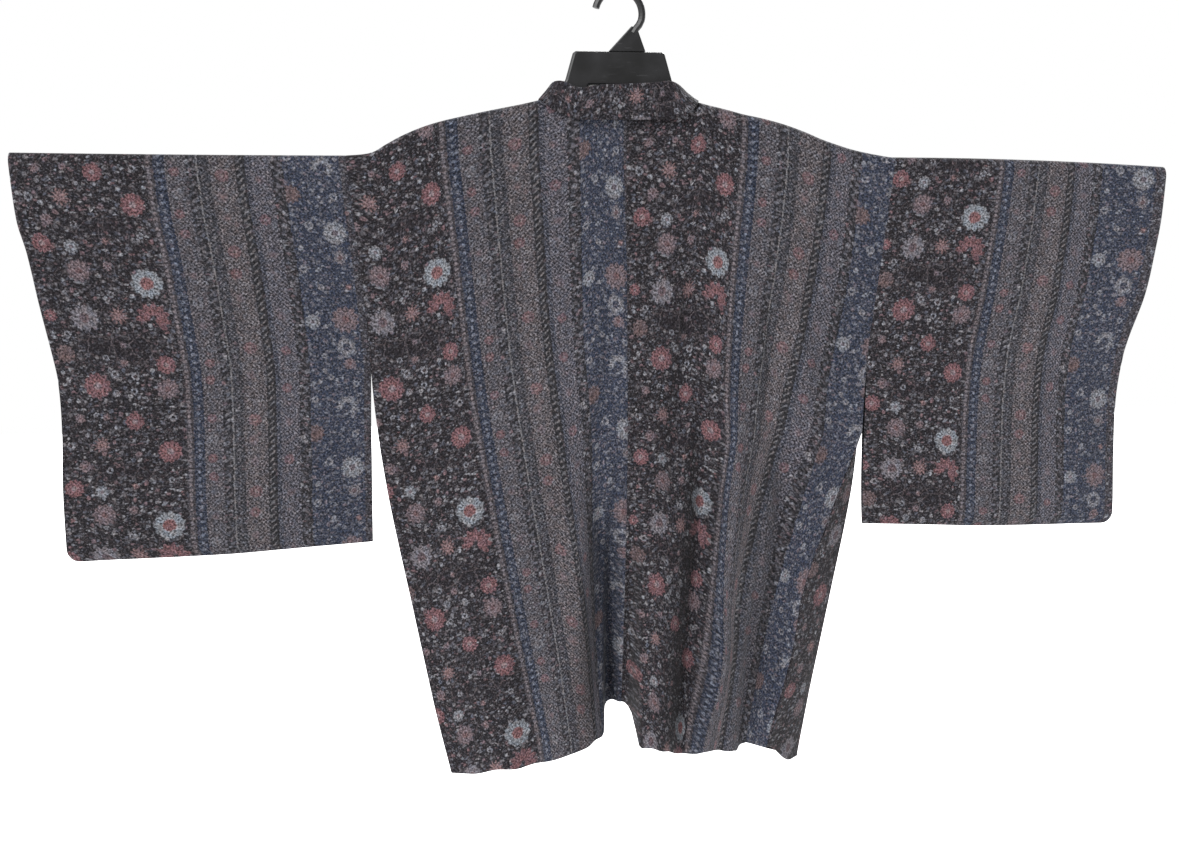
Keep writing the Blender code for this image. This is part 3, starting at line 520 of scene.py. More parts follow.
def body_panel(side):
    """Points, faces and map of one length of cloth, from hem to hem."""
    armhole, neck = ARMHOLE_X[side], NECK_X[side]
    inner = mix(SEAM_STRIP, neck, crossings(neck - SEAM_STRIP)[1:])
    outer = mix(neck, armhole, crossings(armhole - neck)[1:])
    reach = np.array([0.0, 0.0, SEAM_STRIP / 2, SEAM_STRIP, *inner, *outer, armhole])[None, :]
    turned = np.zeros(reach.shape)
    turned[0, [0, -1]] = ALLOWANCE
    down = depths(PANEL_DEPTH)
    down = np.array([*down[:-1], PANEL_DEPTH - 0.002, PANEL_DEPTH - 0.0007, PANEL_DEPTH])
    depth = down[:, None]
    share = depth / PANEL_DEPTH
    dipping, tucked = ease(depth / DIP_START), ease(depth / TUCK_START)

    z = mix(shoulder_top(side, reach), back_hem(side, reach), share)
    edge_x, edge_y = back_side(side, z)
    across = reach / armhole
    x = edge_x * across
    to_side = ease((across - BACK_TURN) / (1 - BACK_TURN))
    y = mix(-read(THICKNESS, "back", z), edge_y, to_side)
    flat = np.where(reach <= SEAM_STRIP, 0.0, side * x)
    y += folds(BACK_FOLDS, flat, z) * (1 - to_side)
    held = ease(across / BACK_FADE_IN), ease((1 - across) / BACK_FADE_OUT)
    y += creases(BACK_CREASES, flat, z) * held[0] * held[1]
    y *= rounded(depth)
    blend = mix(NECK_CORNER, NECK_BLEND, ease((neck - reach) / NECK_BLEND))
    neck_y = mix(read(COLLAR_NECK[side], "seam_y", reach), y, ease(depth / blend))
    y = np.where(reach < neck, neck_y, y)
    y += seam_dip(x) + seam_dip((1 - across) * edge_x) * dipping
    y += hem_roll((1 - share) * PANEL_DEPTH)
    x = np.maximum(x, SEAM_GAP / 2)
    sewn = np.where(across < 0.5, 1.0, ease((z - GUSSET_TOP_Z) / DIP_START)) * tucked
    y += turned * sewn
    back = place(side * x, y, z)
    back_u = bolt_across(BODY_MAP[side], across, z)
    back_v = BODY_PHASE[side] + (shoulder_top(side, reach) - z) * BODY_STRETCH[side]
    back_v += slipped(side, back_u, z)

    # the front starts at the side of the neck
    reach = reach[:, 3 + len(inner):]
    across = (reach - neck) / (armhole - neck)
    z = mix(shoulder_top(side, reach), mix(HEM_Z, FRONT_HEM[side], across ** 1.5), share)
    edge_x, edge_y = front_side(side, z)
    x = mix(neck, edge_x, across)
    to_side = ease((across - FRONT_TURN) / (1 - FRONT_TURN))
    y = mix(read(THICKNESS, "front", z), edge_y, to_side)
    y -= folds(FRONT_FOLDS, side * x, z) * (1 - to_side) * ease(across / FRONT_START)
    held = ease(across / FRONT_FADE) * ease((1 - across) / FRONT_FADE)
    y -= creases(FRONT_CREASES, side * x, z) * held
    y *= rounded(depth)
    y -= seam_dip((1 - across) * (edge_x - neck)) * dipping
    y -= hem_roll((1 - share) * PANEL_DEPTH)
    y -= turned[:, 3 + len(inner):] * ease((z - GUSSET_TOP_Z) / DIP_START) * tucked
    front = place(side * x, y, z)
    front_u = bolt_across(BODY_MAP[side], reach / armhole, z)
    front_v = BODY_PHASE[side] - shoulder_top(side, reach) + z
    front_v += slipped(side, front_u, z)

    rows, columns = back.shape[:2]
    points = np.concatenate([back.reshape(-1, 3), front.reshape(-1, 3)])
    coords = np.concatenate([as_coords(back_u, back_v), as_coords(front_u, front_v)])
    faces = np.concatenate([
        grid_faces(0, rows, columns, side > 0),
        grid_faces(rows * columns, rows, front.shape[1], side < 0),
    ])
    return points, faces, coords[faces]


def sleeve(side):
    """Points, faces and map of a bag sleeve."""
    high = depths(-WRIST_END_Z)
    low_rows = math.ceil((SLEEVE_DEPTH + WRIST_END_Z) / CLOTH_STEP)
    low = np.linspace(-WRIST_END_Z, SLEEVE_DEPTH, low_rows + 1)
    close = SLEEVE_DEPTH - np.array([0.0022, 0.0010, 0.0])
    down = np.array([*high, *low[1:-1], *close])
    depth = down[:, None]
    across = np.array([0.0, *crossings(SLEEVE_WIDTH)])[None, :]
    turned = np.zeros(across.shape)
    turned[0, 0] = ALLOWANCE
    top_z = SLEEVE_TOP[side] * across ** 2
    bottom_z = read(SLEEVE_BOTTOM, "z", across)
    z = top_z - depth * (top_z - bottom_z) / SLEEVE_DEPTH
    height = np.maximum(z - bottom_z, 0.0)
    name = SIDE_NAME[side]
    sewn_x, free_x = read(SIDE, name, z) + SEAM_GAP, read(SLEEVE_EDGE, name, z)
    seam_x = np.where(z > ARMHOLE_END_Z, sewn_x, free_x)
    rest = np.clip(SLEEVE_CORNER - height, 0.0, None)
    end_x = read(CUFF, name, z) - (SLEEVE_CORNER - np.sqrt(SLEEVE_CORNER ** 2 - rest ** 2))
    x = mix(seam_x, end_x, across)
    half = mix(read(THICKNESS, "armhole", z), SLEEVE_HALF, ease(across / SLEEVE_FILL))
    half = mix(half, read(CUFF, "half", z), ease((across - CUFF_TURN) / (1 - CUFF_TURN)))
    taper = np.sqrt(1 - (1 - np.minimum(height / SLEEVE_TAPER, 1.0)) ** 2)
    half = mix(SEWN_HALF / 2, half, taper) * rounded(depth)
    wave = creases(SLEEVE_CREASES[side], across * SLEEVE_WIDTH, z, SLEEVE_WIDTH)
    held = ease(across / SLEEVE_FADE_IN) * ease(height / SLEEVE_FADE_UP) * rounded(depth)
    held = held * ease((1 - across) / SLEEVE_FADE_OUT)
    edge = seam_dip(across * SLEEVE_WIDTH) * ease(depth / DIP_START)
    cuff = hem_roll((1 - across) * SLEEVE_WIDTH)
    edge = edge + cuff * ease((-WRIST_END_Z - depth) / TUCK_START)
    edge = edge + turned * ease((z - ARMHOLE_END_Z) / TUCK_END) * ease(depth / TUCK_START)
    u = bolt_across(SLEEVE_MAP[side], across, z)
    points, coords = [], []
    for layer, share in SLEEVE_LAYERS:
        y = layer * (half - edge * rounded(depth) - wave * held * share)
        points.append(place(side * x, y, z).reshape(-1, 3))
        coords.append(as_coords(u, SLEEVE_PHASE[side] - layer * depth * SLEEVE_STRETCH))
    rows, columns = len(down), across.shape[1]
    count = rows * columns
    points, coords = np.concatenate(points), np.concatenate(coords)
    faces = np.concatenate([
        grid_faces(0, rows, columns, side > 0),
        grid_faces(count, rows, columns, side < 0),
    ])
    # the two layers are joined along the bottom and below the wrist opening
    a = (rows - 1) * columns + np.arange(columns - 1)
    under = np.stack([a, a + count, a + 1 + count, a + 1], axis=1)
    b = np.arange(len(high) - 1, rows - 1) * columns + columns - 1
    outer = np.stack([b, b + columns, b + columns + count, b + count], axis=1)
    joins = np.concatenate([under, outer])
    if side > 0:
        joins = joins[:, ::-1]
    joins_map = coords[np.where(joins >= count, joins - count, joins)]
    return points, np.concatenate([faces, joins]), np.concatenate([coords[faces], joins_map])


def collar_section(seam, fold, edge):
    """Points across the collar: up from its seam, round the fold and down."""
    seam, fold, edge = Vector(seam), Vector(fold), Vector(edge)
    along = fold - seam
    out = edge - seam
    off = (out - out.project(along)) * COLLAR_SPREAD
    section = [seam]
    section += [seam + along * t for t in COLLAR_UP]
    for turn in COLLAR_ROUND:
        angle = math.pi * turn
        rise = mix(COLLAR_SHOULDER, 1.0, math.sin(angle))
        section.append(seam + along * rise + off * (1 - math.cos(angle)) / 2)
    top = seam + along * COLLAR_SHOULDER + off
    return section + [top] + [top.lerp(edge, t) for t in COLLAR_DOWN]


def collar_stations(side):
    """Seam, fold and edge from the centre back round to one hem."""
    stations = list(zip(*COLLAR_NECK[side].values()))
    neck_x = NECK_X[side]
    neck_z = float(shoulder_top(side, np.array(neck_x)))
    for row in zip(*COLLAR_TURN.values()):
        stations.append([v + (neck_x, 0.0, neck_z)[i % 3] for i, v in enumerate(row)])
    start_z = neck_z - COLLAR_FRONT_DROP
    for k in range(COLLAR_FRONT_ROWS):
        z = mix(start_z, HEM_Z, (k / (COLLAR_FRONT_ROWS - 1)) ** COLLAR_SPACING)
        y = float(read(THICKNESS, "front", z))
        seam_x = neck_x - SEAM_GAP
        width = mix(COLLAR_TOP_WIDTH, COLLAR_WIDTH, float(ease((start_z - z) / COLLAR_WIDENING)))
        stations.append([
            seam_x, y, z, seam_x - width, y, z, seam_x + COLLAR_LAP, y + COLLAR_RISE, z,
        ])
    return stations


def smooth_stations(stations):
    """More stations between those given, on a smooth line through them."""
    known = np.array(stations, float)
    count = len(known)
    low = np.maximum(np.arange(count) - 1, 0)
    high = np.minimum(np.arange(count) + 1, count - 1)
    lengths = np.linalg.norm(np.diff(known[:, 0:3], axis=0), axis=1)
    keys = np.concatenate([[0.0], np.cumsum(lengths)])
    slopes = (known[high] - known[low]) / (keys[high] - keys[low])[:, None]
    fine = []
    for i in range(count - 1):
        step = keys[i + 1] - keys[i]
        start, end = slopes[i] * step, slopes[i + 1] * step
        pieces = max(3, math.ceil(step / COLLAR_STEP))
        fine += [smooth(known[i], known[i + 1], start, end, k / pieces) for k in range(pieces)]
    return np.array([*fine, known[-1]])


def collar():
    """Points, faces and map of the strip round the neck."""
    left, right = (smooth_stations(collar_stations(side)) for side in (-1, 1))
    left[:, [0, 3, 6]] *= -1
    stations = np.concatenate([left[:0:-1], right])
    raw = np.array([
        [tuple(point) for point in collar_section(row[0:3], row[3:6], row[6:9])]
        for row in stations
    ])
    steps = np.linalg.norm(np.diff(raw[:, -1], axis=0), axis=1)
    along = np.concatenate([[0.0], np.cumsum(steps)])
    along -= along[len(left) - 1]
    wide = np.linalg.norm(np.diff(raw, axis=1), axis=2)
    across = np.concatenate([np.zeros((len(raw), 1)), np.cumsum(wide, axis=1)], axis=1)
    raw[..., 1] += COLLAR_RIPPLE * np.sin(along / COLLAR_WAVE)[:, None] * (raw[..., 1] > 0)
    points = place(raw[..., 0], raw[..., 1], raw[..., 2]).reshape(-1, 3)
    coords = as_coords(COLLAR_ACROSS - across, COLLAR_ALONG + along[:, None])
    faces = grid_faces(0, raw.shape[0], raw.shape[1], False)
    return points, faces, coords[faces]


def gusset(side):
    """Points, faces and map of the wedge between the back and the front."""
    share = np.linspace(0.0, 1.0, GUSSET_ROWS)[:, None]
    t = np.linspace(0.0, 1.0, GUSSET_COLUMNS)[None, :]
    back_z = mix(GUSSET_TOP_Z, back_hem(side, np.array(ARMHOLE_X[side])), share)
    front_z = mix(GUSSET_TOP_Z, FRONT_HEM[side], share)
    back_x, back_y = back_side(side, back_z)
    front_x, front_y = front_side(side, front_z)
    width = np.hypot(front_x - back_x, front_y - back_y)
    inset = GUSSET_INSET / width
    s = mix(inset, 1 - inset, t)
    bulge = GUSSET_BULGE * np.sin(np.pi * t) * share
    ripple = GUSSET_RIPPLE * np.sin(share * GUSSET_WAVES + t * GUSSET_LEAN)
    ripple = ripple * np.sin(np.pi * t) * share
    z = mix(back_z, front_z, mix(s, ease(GUSSET_SAG * s), share))
    roll = hem_roll((1 - share) * GUSSET_LENGTH)
    x = mix(back_x, front_x, s) + bulge + ripple - roll * np.sin(np.pi * t)
    y = mix(back_y + roll, front_y - roll, s)
    points = place(side * x, y, z).reshape(-1, 3)
    u = GUSSET_ACROSS + (t - GUSSET_MIDDLE) * width * GUSSET_SPREAD
    coords = as_coords(u, GUSSET_ALONG - z)
    faces = grid_faces(0, GUSSET_ROWS, GUSSET_COLUMNS, side > 0)
    return points, faces, coords[faces]


def put(name, data):
    """A new object in the scene."""
    made = bpy.data.objects.new(name, data)
    bpy.context.scene.collection.objects.link(made)
    return made


def add_shell(name, parts, materials):
    """A sheet of cloth with its map, its thickness and its two faces."""
    points, faces, coords = parts
    mesh = bpy.data.meshes.new(name)
    mesh.from_pydata(points.tolist(), [], faces.tolist())
    layer = mesh.uv_layers.new(name="cloth")
    layer.data.foreach_set("uv", coords.reshape(-1).astype(np.float32))
    work = bmesh.new()
    work.from_mesh(mesh)
    bmesh.ops.remove_doubles(work, verts=work.verts, dist=WELD)
    work.to_mesh(mesh)
    work.free()
    mesh.shade_smooth()
    for material in materials:
        mesh.materials.append(material)
    shell = put(name, mesh)
    cloth = shell.modifiers.new("Cloth", "SOLIDIFY")
    cloth.thickness = WALL
    cloth.offset = 0.0
    cloth.use_even_offset = False
    cloth.use_rim = True
    cloth.material_offset = 1
    cloth.material_offset_rim = 0
    return shell


# ---------------------------------------------------------------- the print's charts

REPEAT = 0.282           # along the bolt, from one chrysanthemum to the next
NET = 0.0048             # pitch of the tied dots' two slanting rows
NET_SHAKE = 0.0050       # how unevenly the net is drawn
KNOT, GLINT = 0.42, 0.46 # a knot is dark up to here from its middle, and light from here
KNOT_SHARE, GLINT_SHARE = 0.88, 0.64
PRINT_SHAKE = 0.0026     # and the rest of the print
WIDEST = 0.02            # the ramps write a flower of this radius as 1
FLOWERS_CLEAR, FLOWERS_FAINT = 0.97, 0.55
PETALS = 11.0
PETAL_EDGE = 9.0         # how sharp its outlines are, in its own radius
CURL_TURN, CURL_GAP = 1.9, 0.55          # where an open curl has its gap, and how wide
RIB_SHADE, DOT_SHADE = 0.16, 0.45
HEART_EDGE = 10.0
LEVEL, LEAST_LEVEL = 1.07, 0.2           # brightness over the charts' colours
GRAIN_CONTRAST, CLOUD_CONTRAST = 4.0, 0.25
STRIPES_FROM = 0.138     # the ramps cover the bolt from here
STRIPES_TO = BOLT + 0.004

# The stripes across the bolt: where each begins, its ground colour, and how
# much it has of the dyed net, of small flowers and leaves, and of blue in them
STRIPES = (
    (0.0000, (38, 35, 39), 0.15, 1.0, 0.10),
    (0.1405, (66, 62, 66), 0.3, 0.3, 0.15),
    (0.1485, (42, 49, 65), 0.3, 0.5, 0.80),
    (0.1605, (92, 89, 94), 0.8, 0.6, 0.40),
    (0.1810, (46, 45, 49), 0.15, 0.9, 0.30),
    (0.1910, (118, 116, 118), 0.1, 0.0, 0.50),
    (0.1930, (62, 62, 67), 0.7, 0.5, 0.40),
    (0.2040, (102, 96, 98), 0.9, 0.5, 0.20),
    (0.2295, (46, 45, 48), 0.1, 0.3, 0.40),
    (0.2395, (68, 71, 82), 0.8, 0.5, 0.70),
    (0.2450, (97, 95, 103), 0.9, 0.5, 0.50),
    (0.2665, (47, 46, 50), 0.15, 1.0, 0.30),
    (0.2795, (52, 59, 76), 0.3, 1.0, 0.70),
    (0.3420, (62, 60, 66), 0.4, 1.0, 0.30),
)
# Small leaves and buds: cells in a metre, how much narrower they are, their turn
# and shift, their least size, how much they vary, and how strongly they show
SPECKS = (
    (300.0, 1.2, 2.2, 7.3, 0.12, 0.34, 0.40),
    (112.0, 2.1, 0.9, 3.1, 0.10, 0.34, 0.80),
    (112.0, 1.0, 0.4, 0.0, 0.10, 0.28, 0.95),
)
SPECK_COLOURS = (
    (0.00, (106, 104, 108)), (0.24, (130, 128, 132)), (0.42, (118, 98, 102)),
    (0.52, (92, 94, 104)), (0.68, (84, 80, 85)), (0.80, (154, 154, 158)),
    (0.95, (124, 96, 98)),
)
# Thin crossing stems: loops in a metre, how thin they are, how much they show
STEMS = ((46.0, 26.0, 0.26), (31.0, 34.0, 0.20))
# Beads in the narrow stripes: centre, half width, pitch, colour, strength
BEADS = (
    (0.1545, 0.0023, 0.0086, (126, 131, 144), 0.80),
    (0.1443, 0.0026, 0.0058, (132, 124, 128), 0.75),
    (0.1515, 0.0011, 0.0043, (100, 104, 118), 0.60),
    (0.1578, 0.0011, 0.0047, (100, 104, 118), 0.60),
    (0.1985, 0.0014, 0.0052, (108, 106, 112), 0.70),
)
# And slanting stitches: the same, with their lean before the colour
STITCHES = (
    (0.2345, 0.0037, 0.0074, 0.9, (132, 129, 131), 0.72),
    (0.1860, 0.0038, 0.0088, 0.8, (122, 119, 124), 0.55),
    (0.2730, 0.0040, 0.0094, -0.8, (122, 118, 124), 0.50),
)
# Warm and cool patches of the dye
TONES = (
    (0.30, (0.84, 0.90, 1.00, 1)), (0.50, (0.90, 0.90, 0.93, 1)), (0.70, (0.97, 0.89, 0.87, 1)),
)

# Kinds of flower: petals, centre, and the form: depth of the petals' notches,
# hollow middle, size of the centre, and 1 for an open curl
KINDS = {
    "white": ((158, 163, 169), (138, 98, 98), (0.13, 0.0, 0.46, 0)),
    "red": ((136, 97, 100), (150, 130, 132), (0.14, 0.0, 0.32, 0)),
    "dusty": ((130, 114, 118), (118, 92, 94), (0.20, 0.0, 0.30, 0)),
    "grey": ((135, 131, 137), (108, 92, 96), (0.18, 0.0, 0.40, 0)),
    "pale": ((148, 150, 156), (124, 114, 120), (0.16, 0.0, 0.30, 0)),
    "ring": ((146, 146, 152), (70, 66, 74), (0.10, 0.42, 0.10, 0)),
    "star": ((138, 112, 112), (146, 116, 116), (0.44, 0.0, 0.25, 0)),
    "red_curl": ((134, 97, 100), (60, 48, 54), (0.24, 0.16, 0.10, 1)),
    "white_curl": ((146, 147, 153), (60, 60, 74), (0.22, 0.40, 0.10, 1)),
    "brown": ((116, 98, 98), (98, 80, 80), (0.18, 0.0, 0.30, 0)),
}
# Lanes of flowers along the bolt, in centimetres: along, across, radius, kind
DARK_LANES = (
    (
        (0, 12, 1.8, "white"), (3.95, 12, 1.95, "red_curl"), (9.3, 12.4, 1.15, "red"),
        (12.1, 12.3, 1.35, "dusty"), (15.4, 12.7, 0.45, "ring"), (19.4, 12.3, 1.4, "red"),
        (22.8, 12.4, 0.4, "ring"),
    ),
    (
        (1.2, 8, 0.4, "ring"), (3.6, 8.4, 1.1, "star"), (7, 8.3, 0.35, "dusty"),
        (9, 8, 0.5, "dusty"), (10.6, 9, 0.5, "ring"), (12.3, 8.7, 0.45, "ring"),
        (15.8, 8.6, 1.1, "red"), (19.6, 9, 0.4, "dusty"), (23.4, 8.6, 0.45, "star"),
        (26.2, 8.3, 0.55, "dusty"),
    ),
    (
        (3.8, 4.8, 1.6, "grey"), (8.4, 6.2, 0.4, "ring"), (11.6, 4.8, 1.6, "red"),
        (15.2, 5.6, 0.45, "dusty"), (18.5, 5, 1.05, "star"), (21.5, 5.9, 0.4, "ring"),
        (24, 5, 0.85, "pale"), (26.7, 5.2, 1.4, "dusty"),
    ),
    (
        (3.5, 1.2, 0.75, "red"), (5.6, 2.6, 0.45, "ring"), (7.9, 1.9, 1.15, "brown"),
        (10.3, 6.8, 0.5, "ring"), (12.5, 6.8, 0.45, "ring"), (15.4, 2.6, 0.6, "dusty"),
        (18.6, 1.6, 0.5, "ring"), (21, 3.2, 0.75, "dusty"), (23.6, 2, 1.15, "red"),
    ),
)
BLUE_LANES = (
    (
        (0.9, 33.5, 0.45, "star"), (4.7, 32.7, 1.75, "dusty"), (8, 32.5, 1.15, "ring"),
        (10, 32.7, 0.8, "dusty"), (12.5, 33.4, 0.4, "ring"), (15.2, 32.3, 1.4, "white_curl"),
        (18.6, 33.2, 0.5, "ring"), (22.7, 32.8, 1.5, "pale"), (25.6, 33, 0.85, "grey"),
    ),
    (
        (0.8, 30.4, 0.4, "ring"), (4.8, 28.9, 0.95, "pale"), (8.9, 29.8, 0.4, "ring"),
        (11.5, 30.4, 0.4, "ring"), (14.1, 28.5, 0.45, "ring"), (18.2, 28.5, 1.15, "brown"),
        (21.8, 30, 0.55, "ring"), (24.4, 28.7, 0.4, "pale"), (26.8, 28.6, 0.5, "ring"),
    ),
)
GREY_LANES = (
    (
        (2.2, 16.9, 0.6, "ring"), (4.9, 17, 0.5, "dusty"), (9.2, 17.1, 0.6, "red"),
        (11.2, 16.9, 0.6, "red"), (15.7, 16.9, 0.6, "red"), (18.2, 17, 0.65, "ring"),
        (20.4, 16.9, 0.6, "red"), (22.6, 17, 0.6, "red"), (27.4, 17, 0.45, "dusty"),
    ),
    (
        (1.8, 21.4, 0.55, "dusty"), (7.6, 21.6, 0.8, "red"), (10.8, 21.4, 0.6, "dusty"),
        (16.1, 21.6, 0.8, "red"), (18.5, 21.4, 0.7, "dusty"), (20.9, 21.5, 0.5, "dusty"),
        (24.7, 21.6, 0.8, "red"), (27.2, 21.4, 0.7, "red"),
    ),
    (
        (4, 25.5, 0.55, "dusty"), (8.1, 25.5, 0.6, "red"), (12.5, 25.3, 0.65, "red"),
        (16.6, 25.4, 0.55, "dusty"), (21.1, 25.4, 0.7, "red"), (25.1, 25.6, 0.55, "dusty"),
        (27.2, 25.3, 0.5, "grey"),
    ),
)


# ---------------------------------------------------------------- materials

LIGHT_GAIN = 3.20        # how brightly the lights show a surface that faces them


def rgb(red, green, blue):
    """A colour as it shows on a screen, from 0 to 255, as a surface colour."""
    def linear(value):
        value /= 255
        value = value / 12.92 if value <= 0.04045 else ((value + 0.055) / 1.055) ** 2.4
        return value / LIGHT_GAIN
    return (linear(red), linear(green), linear(blue), 1.0)


class Nodes:
    """Short names for making and joining the nodes of one tree."""

    def __init__(self, tree):
        self.tree = tree

    def join(self, source, socket):
        if isinstance(source, bpy.types.NodeSocket):
            self.tree.links.new(source, socket)
        else:
            socket.default_value = source

    def add(self, kind, sources=None, **settings):
        """A node with its settings, and a value or a source for each socket named."""
        made = self.tree.nodes.new(kind)
        for name, value in settings.items():
            setattr(made, name, value)
        for name, source in (sources or {}).items():
            self.join(source, made.inputs[name])
        return made

    def compute(self, operation, *values, clamp=False):
        sources = dict(enumerate(values))
        return self.add("ShaderNodeMath", sources, operation=operation, use_clamp=clamp).outputs[0]

    plus = partialmethod(compute, "ADD")
    minus = partialmethod(compute, "SUBTRACT")
    times = partialmethod(compute, "MULTIPLY")
    times_plus = partialmethod(compute, "MULTIPLY_ADD")
    over = partialmethod(compute, "DIVIDE")
    fract = partialmethod(compute, "FRACT")
    larger = partialmethod(compute, "MAXIMUM")
    less = partialmethod(compute, "LESS_THAN")
    more = partialmethod(compute, "GREATER_THAN")
    root = partialmethod(compute, "SQRT")
    sine = partialmethod(compute, "SINE")
    cosine = partialmethod(compute, "COSINE")

    def square(self, x, y):
        return self.times_plus(x, x, self.times(y, y))

    def vector(self, operation, *values):
        sources = dict(enumerate(values))
        return self.add("ShaderNodeVectorMath", sources, operation=operation).outputs[0]

    def split(self, kind, source):
        """The three parts of a "Color" or an "XYZ"."""
        return self.add(f"ShaderNodeSeparate{kind}", {0: source}).outputs[:3]

    def noise(self, vector, scale, detail=2.0, dimensions="2D"):
        sources = {"Vector": vector, "Scale": scale, "Detail": detail}
        return self.add("ShaderNodeTexNoise", sources, noise_dimensions=dimensions).outputs

    def cells(self, vector, scale, feature):
        sources = {"Vector": vector, "Scale": scale}
        settings = {"voronoi_dimensions": "2D", "feature": feature}
        return self.add("ShaderNodeTexVoronoi", sources, **settings).outputs

    def mapping(self, vector, **values):
        return self.add("ShaderNodeMapping", {"Vector": vector, **values}).outputs[0]

    def bump(self, height, strength, distance):
        sources = {"Strength": strength, "Distance": distance, "Height": height}
        return self.add("ShaderNodeBump", sources).outputs[0]

    def mix(self, share, a, b, blend="MIX"):
        sources = {0: share, 6: a, 7: b}
        return self.add("ShaderNodeMix", sources, data_type="RGBA", blend_type=blend).outputs[2]

    def steps(self, value, stops, smooth=False):
        """A colour ramp; stops are (position, colour). Gives colour and alpha."""
        made = self.add("ShaderNodeValToRGB", {0: value})
        ramp = made.color_ramp
        ramp.interpolation = "LINEAR" if smooth else "CONSTANT"
        while len(ramp.elements) < len(stops):
            ramp.elements.new(1.0)
        for element, (position, _) in zip(ramp.elements, stops):
            element.position = position
        for element, (_, colour) in zip(ramp.elements, stops):
            element.color = colour
        return made.outputs[:2]

    def band(self, value, low, high, soft):
        """1 between low and high, with soft edges, and 0 outside."""
        up = self.times(self.minus(value, low), 1 / soft, clamp=True)
        down = self.times(self.minus(high, value), 1 / soft, clamp=True)
        return self.times(up, down)


def bloom_group():
    """A flower: how much of it covers a point, and its colour there."""
    group = bpy.data.node_groups.new("bloom", "ShaderNodeTree")
    for name in ("Across", "Along", "Radius", "Kind"):
        group.interface.new_socket(name, in_out="INPUT", socket_type="NodeSocketFloat")
    group.interface.new_socket("Cover", in_out="OUTPUT", socket_type="NodeSocketFloat")
    group.interface.new_socket("Colour", in_out="OUTPUT", socket_type="NodeSocketColor")
    n = Nodes(group)
    across, along, radius, kind = n.add("NodeGroupInput").outputs[:4]
    x, y = n.over(across, radius), n.over(along, radius)
    out = n.root(n.square(x, y))
    angle = n.compute("ARCTAN2", y, x)

    starts = [max((i - 0.5) / len(KINDS), 0.0) for i in range(len(KINDS))]
    petals, hearts, forms = zip(*KINDS.values())
    petal, _ = n.steps(kind, [(at, rgb(*colour)) for at, colour in zip(starts, petals)])
    heart, _ = n.steps(kind, [(at, rgb(*colour)) for at, colour in zip(starts, hearts)])
    form, curl = n.steps(kind, list(zip(starts, forms)))
    notch, hollow, heart_size = n.split("Color", form)

    # notched petals, a hollow middle, and the gap of a curl
    wave = n.cosine(n.times(angle, PETALS))
    edge = n.minus(1.0, n.times(notch, n.times_plus(wave, 0.5, 0.5)))
    cover = n.times(n.minus(edge, out), PETAL_EDGE, clamp=True)
    inner = n.times_plus(n.minus(out, hollow), PETAL_EDGE, 0.5, clamp=True)
    solid = n.less(hollow, 0.01)
    cover = n.times(cover, n.larger(inner, solid))
    turned = n.cosine(n.minus(angle, CURL_TURN))
    cut = n.times(n.minus(turned, CURL_GAP), 5.0, clamp=True)
    cover = n.times(cover, n.minus(1.0, n.times(cut, curl)))

    # lines between the petals, and a ring of dots round the centre
    ribs = n.cosine(n.times(angle, 2 * PETALS))
    shade = n.times(n.times_plus(ribs, RIB_SHADE, RIB_SHADE), n.band(out, 0.42, 1.2, 0.15))
    dots = n.times(n.band(out, 0.50, 0.68, 0.08), n.times_plus(wave, 0.5, 0.1, clamp=True))
    shade = n.plus(shade, n.times(dots, DOT_SHADE), clamp=True)
    colour = n.mix(n.times(n.minus(heart_size, out), HEART_EDGE, clamp=True), petal, heart)
    colour = n.mix(shade, colour, rgb(50, 46, 54))
    n.add("NodeGroupOutput", {"Cover": cover, "Colour": colour})
    return group


def lane_stops(lane):
    """Where the lane's count starts, and a ramp of each flower's place."""
    whole = REPEAT * 100
    rows = sorted(lane)
    gaps = []
    for i, row in enumerate(rows):
        ahead = rows[(i + 1) % len(rows)]
        start = row[0] + row[2]
        end = ahead[0] - ahead[2] + (whole if i + 1 == len(rows) else 0.0)
        gaps.append((end - start, (start + end) / 2))
    origin = max(gaps)[1] / whole
    rows = sorted((((row[0] / whole - origin) % 1.0), row) for row in rows)
    stops = []
    for i, (share, (_, across, radius, kind)) in enumerate(rows):
        at = 0.0
        if i:
            before, last = rows[i - 1]
            at = (before + last[2] / whole + share - radius / whole) / 2
        kind = list(KINDS).index(kind) / len(KINDS)
        stops.append((at, (share, across / 100 / BOLT, radius / 100 / WIDEST, kind)))
    return origin, stops


def striped(n, across):
    """The ground's colour, and how much it has of the net, of specks and of blue."""
    span = STRIPES_TO - STRIPES_FROM
    grounds, amounts = [], []
    for start, colour, *amount in STRIPES:
        at = min(max((start - STRIPES_FROM) / span, 0.0), 1.0)
        grounds.append((at, rgb(*colour)))
        amounts.append((at, (*amount, 1.0)))
    at = n.over(n.minus(across, STRIPES_FROM), span)
    return n.steps(at, grounds)[0], *n.split("Color", n.steps(at, amounts)[0])


def speckled(n, mapped, colour, blue, specks):
    """Small leaves and buds scattered over the ground, in three sizes."""
    tints = [(at, rgb(*tint)) for at, tint in SPECK_COLOURS]
    for cells, narrow, turn, shift, least, growth, strength in SPECKS:
        turned = n.mapping(
            mapped, Location=(shift, shift * 0.37, 0.0), Rotation=(0.0, 0.0, turn),
            Scale=(cells, cells * narrow, 1.0),
        )
        found = n.cells(turned, 1.0, "F1")
        size, pick, _ = n.split("Color", found["Color"])
        radius = n.times_plus(size, growth, least)
        spot = n.times(n.minus(radius, found["Distance"]), 7.0, clamp=True)
        spot = n.times(spot, n.times(specks, strength))
        tint = n.mix(n.times(blue, 0.70), n.steps(pick, tints)[0], rgb(120, 124, 136))
        colour = n.mix(spot, colour, tint)
    return colour


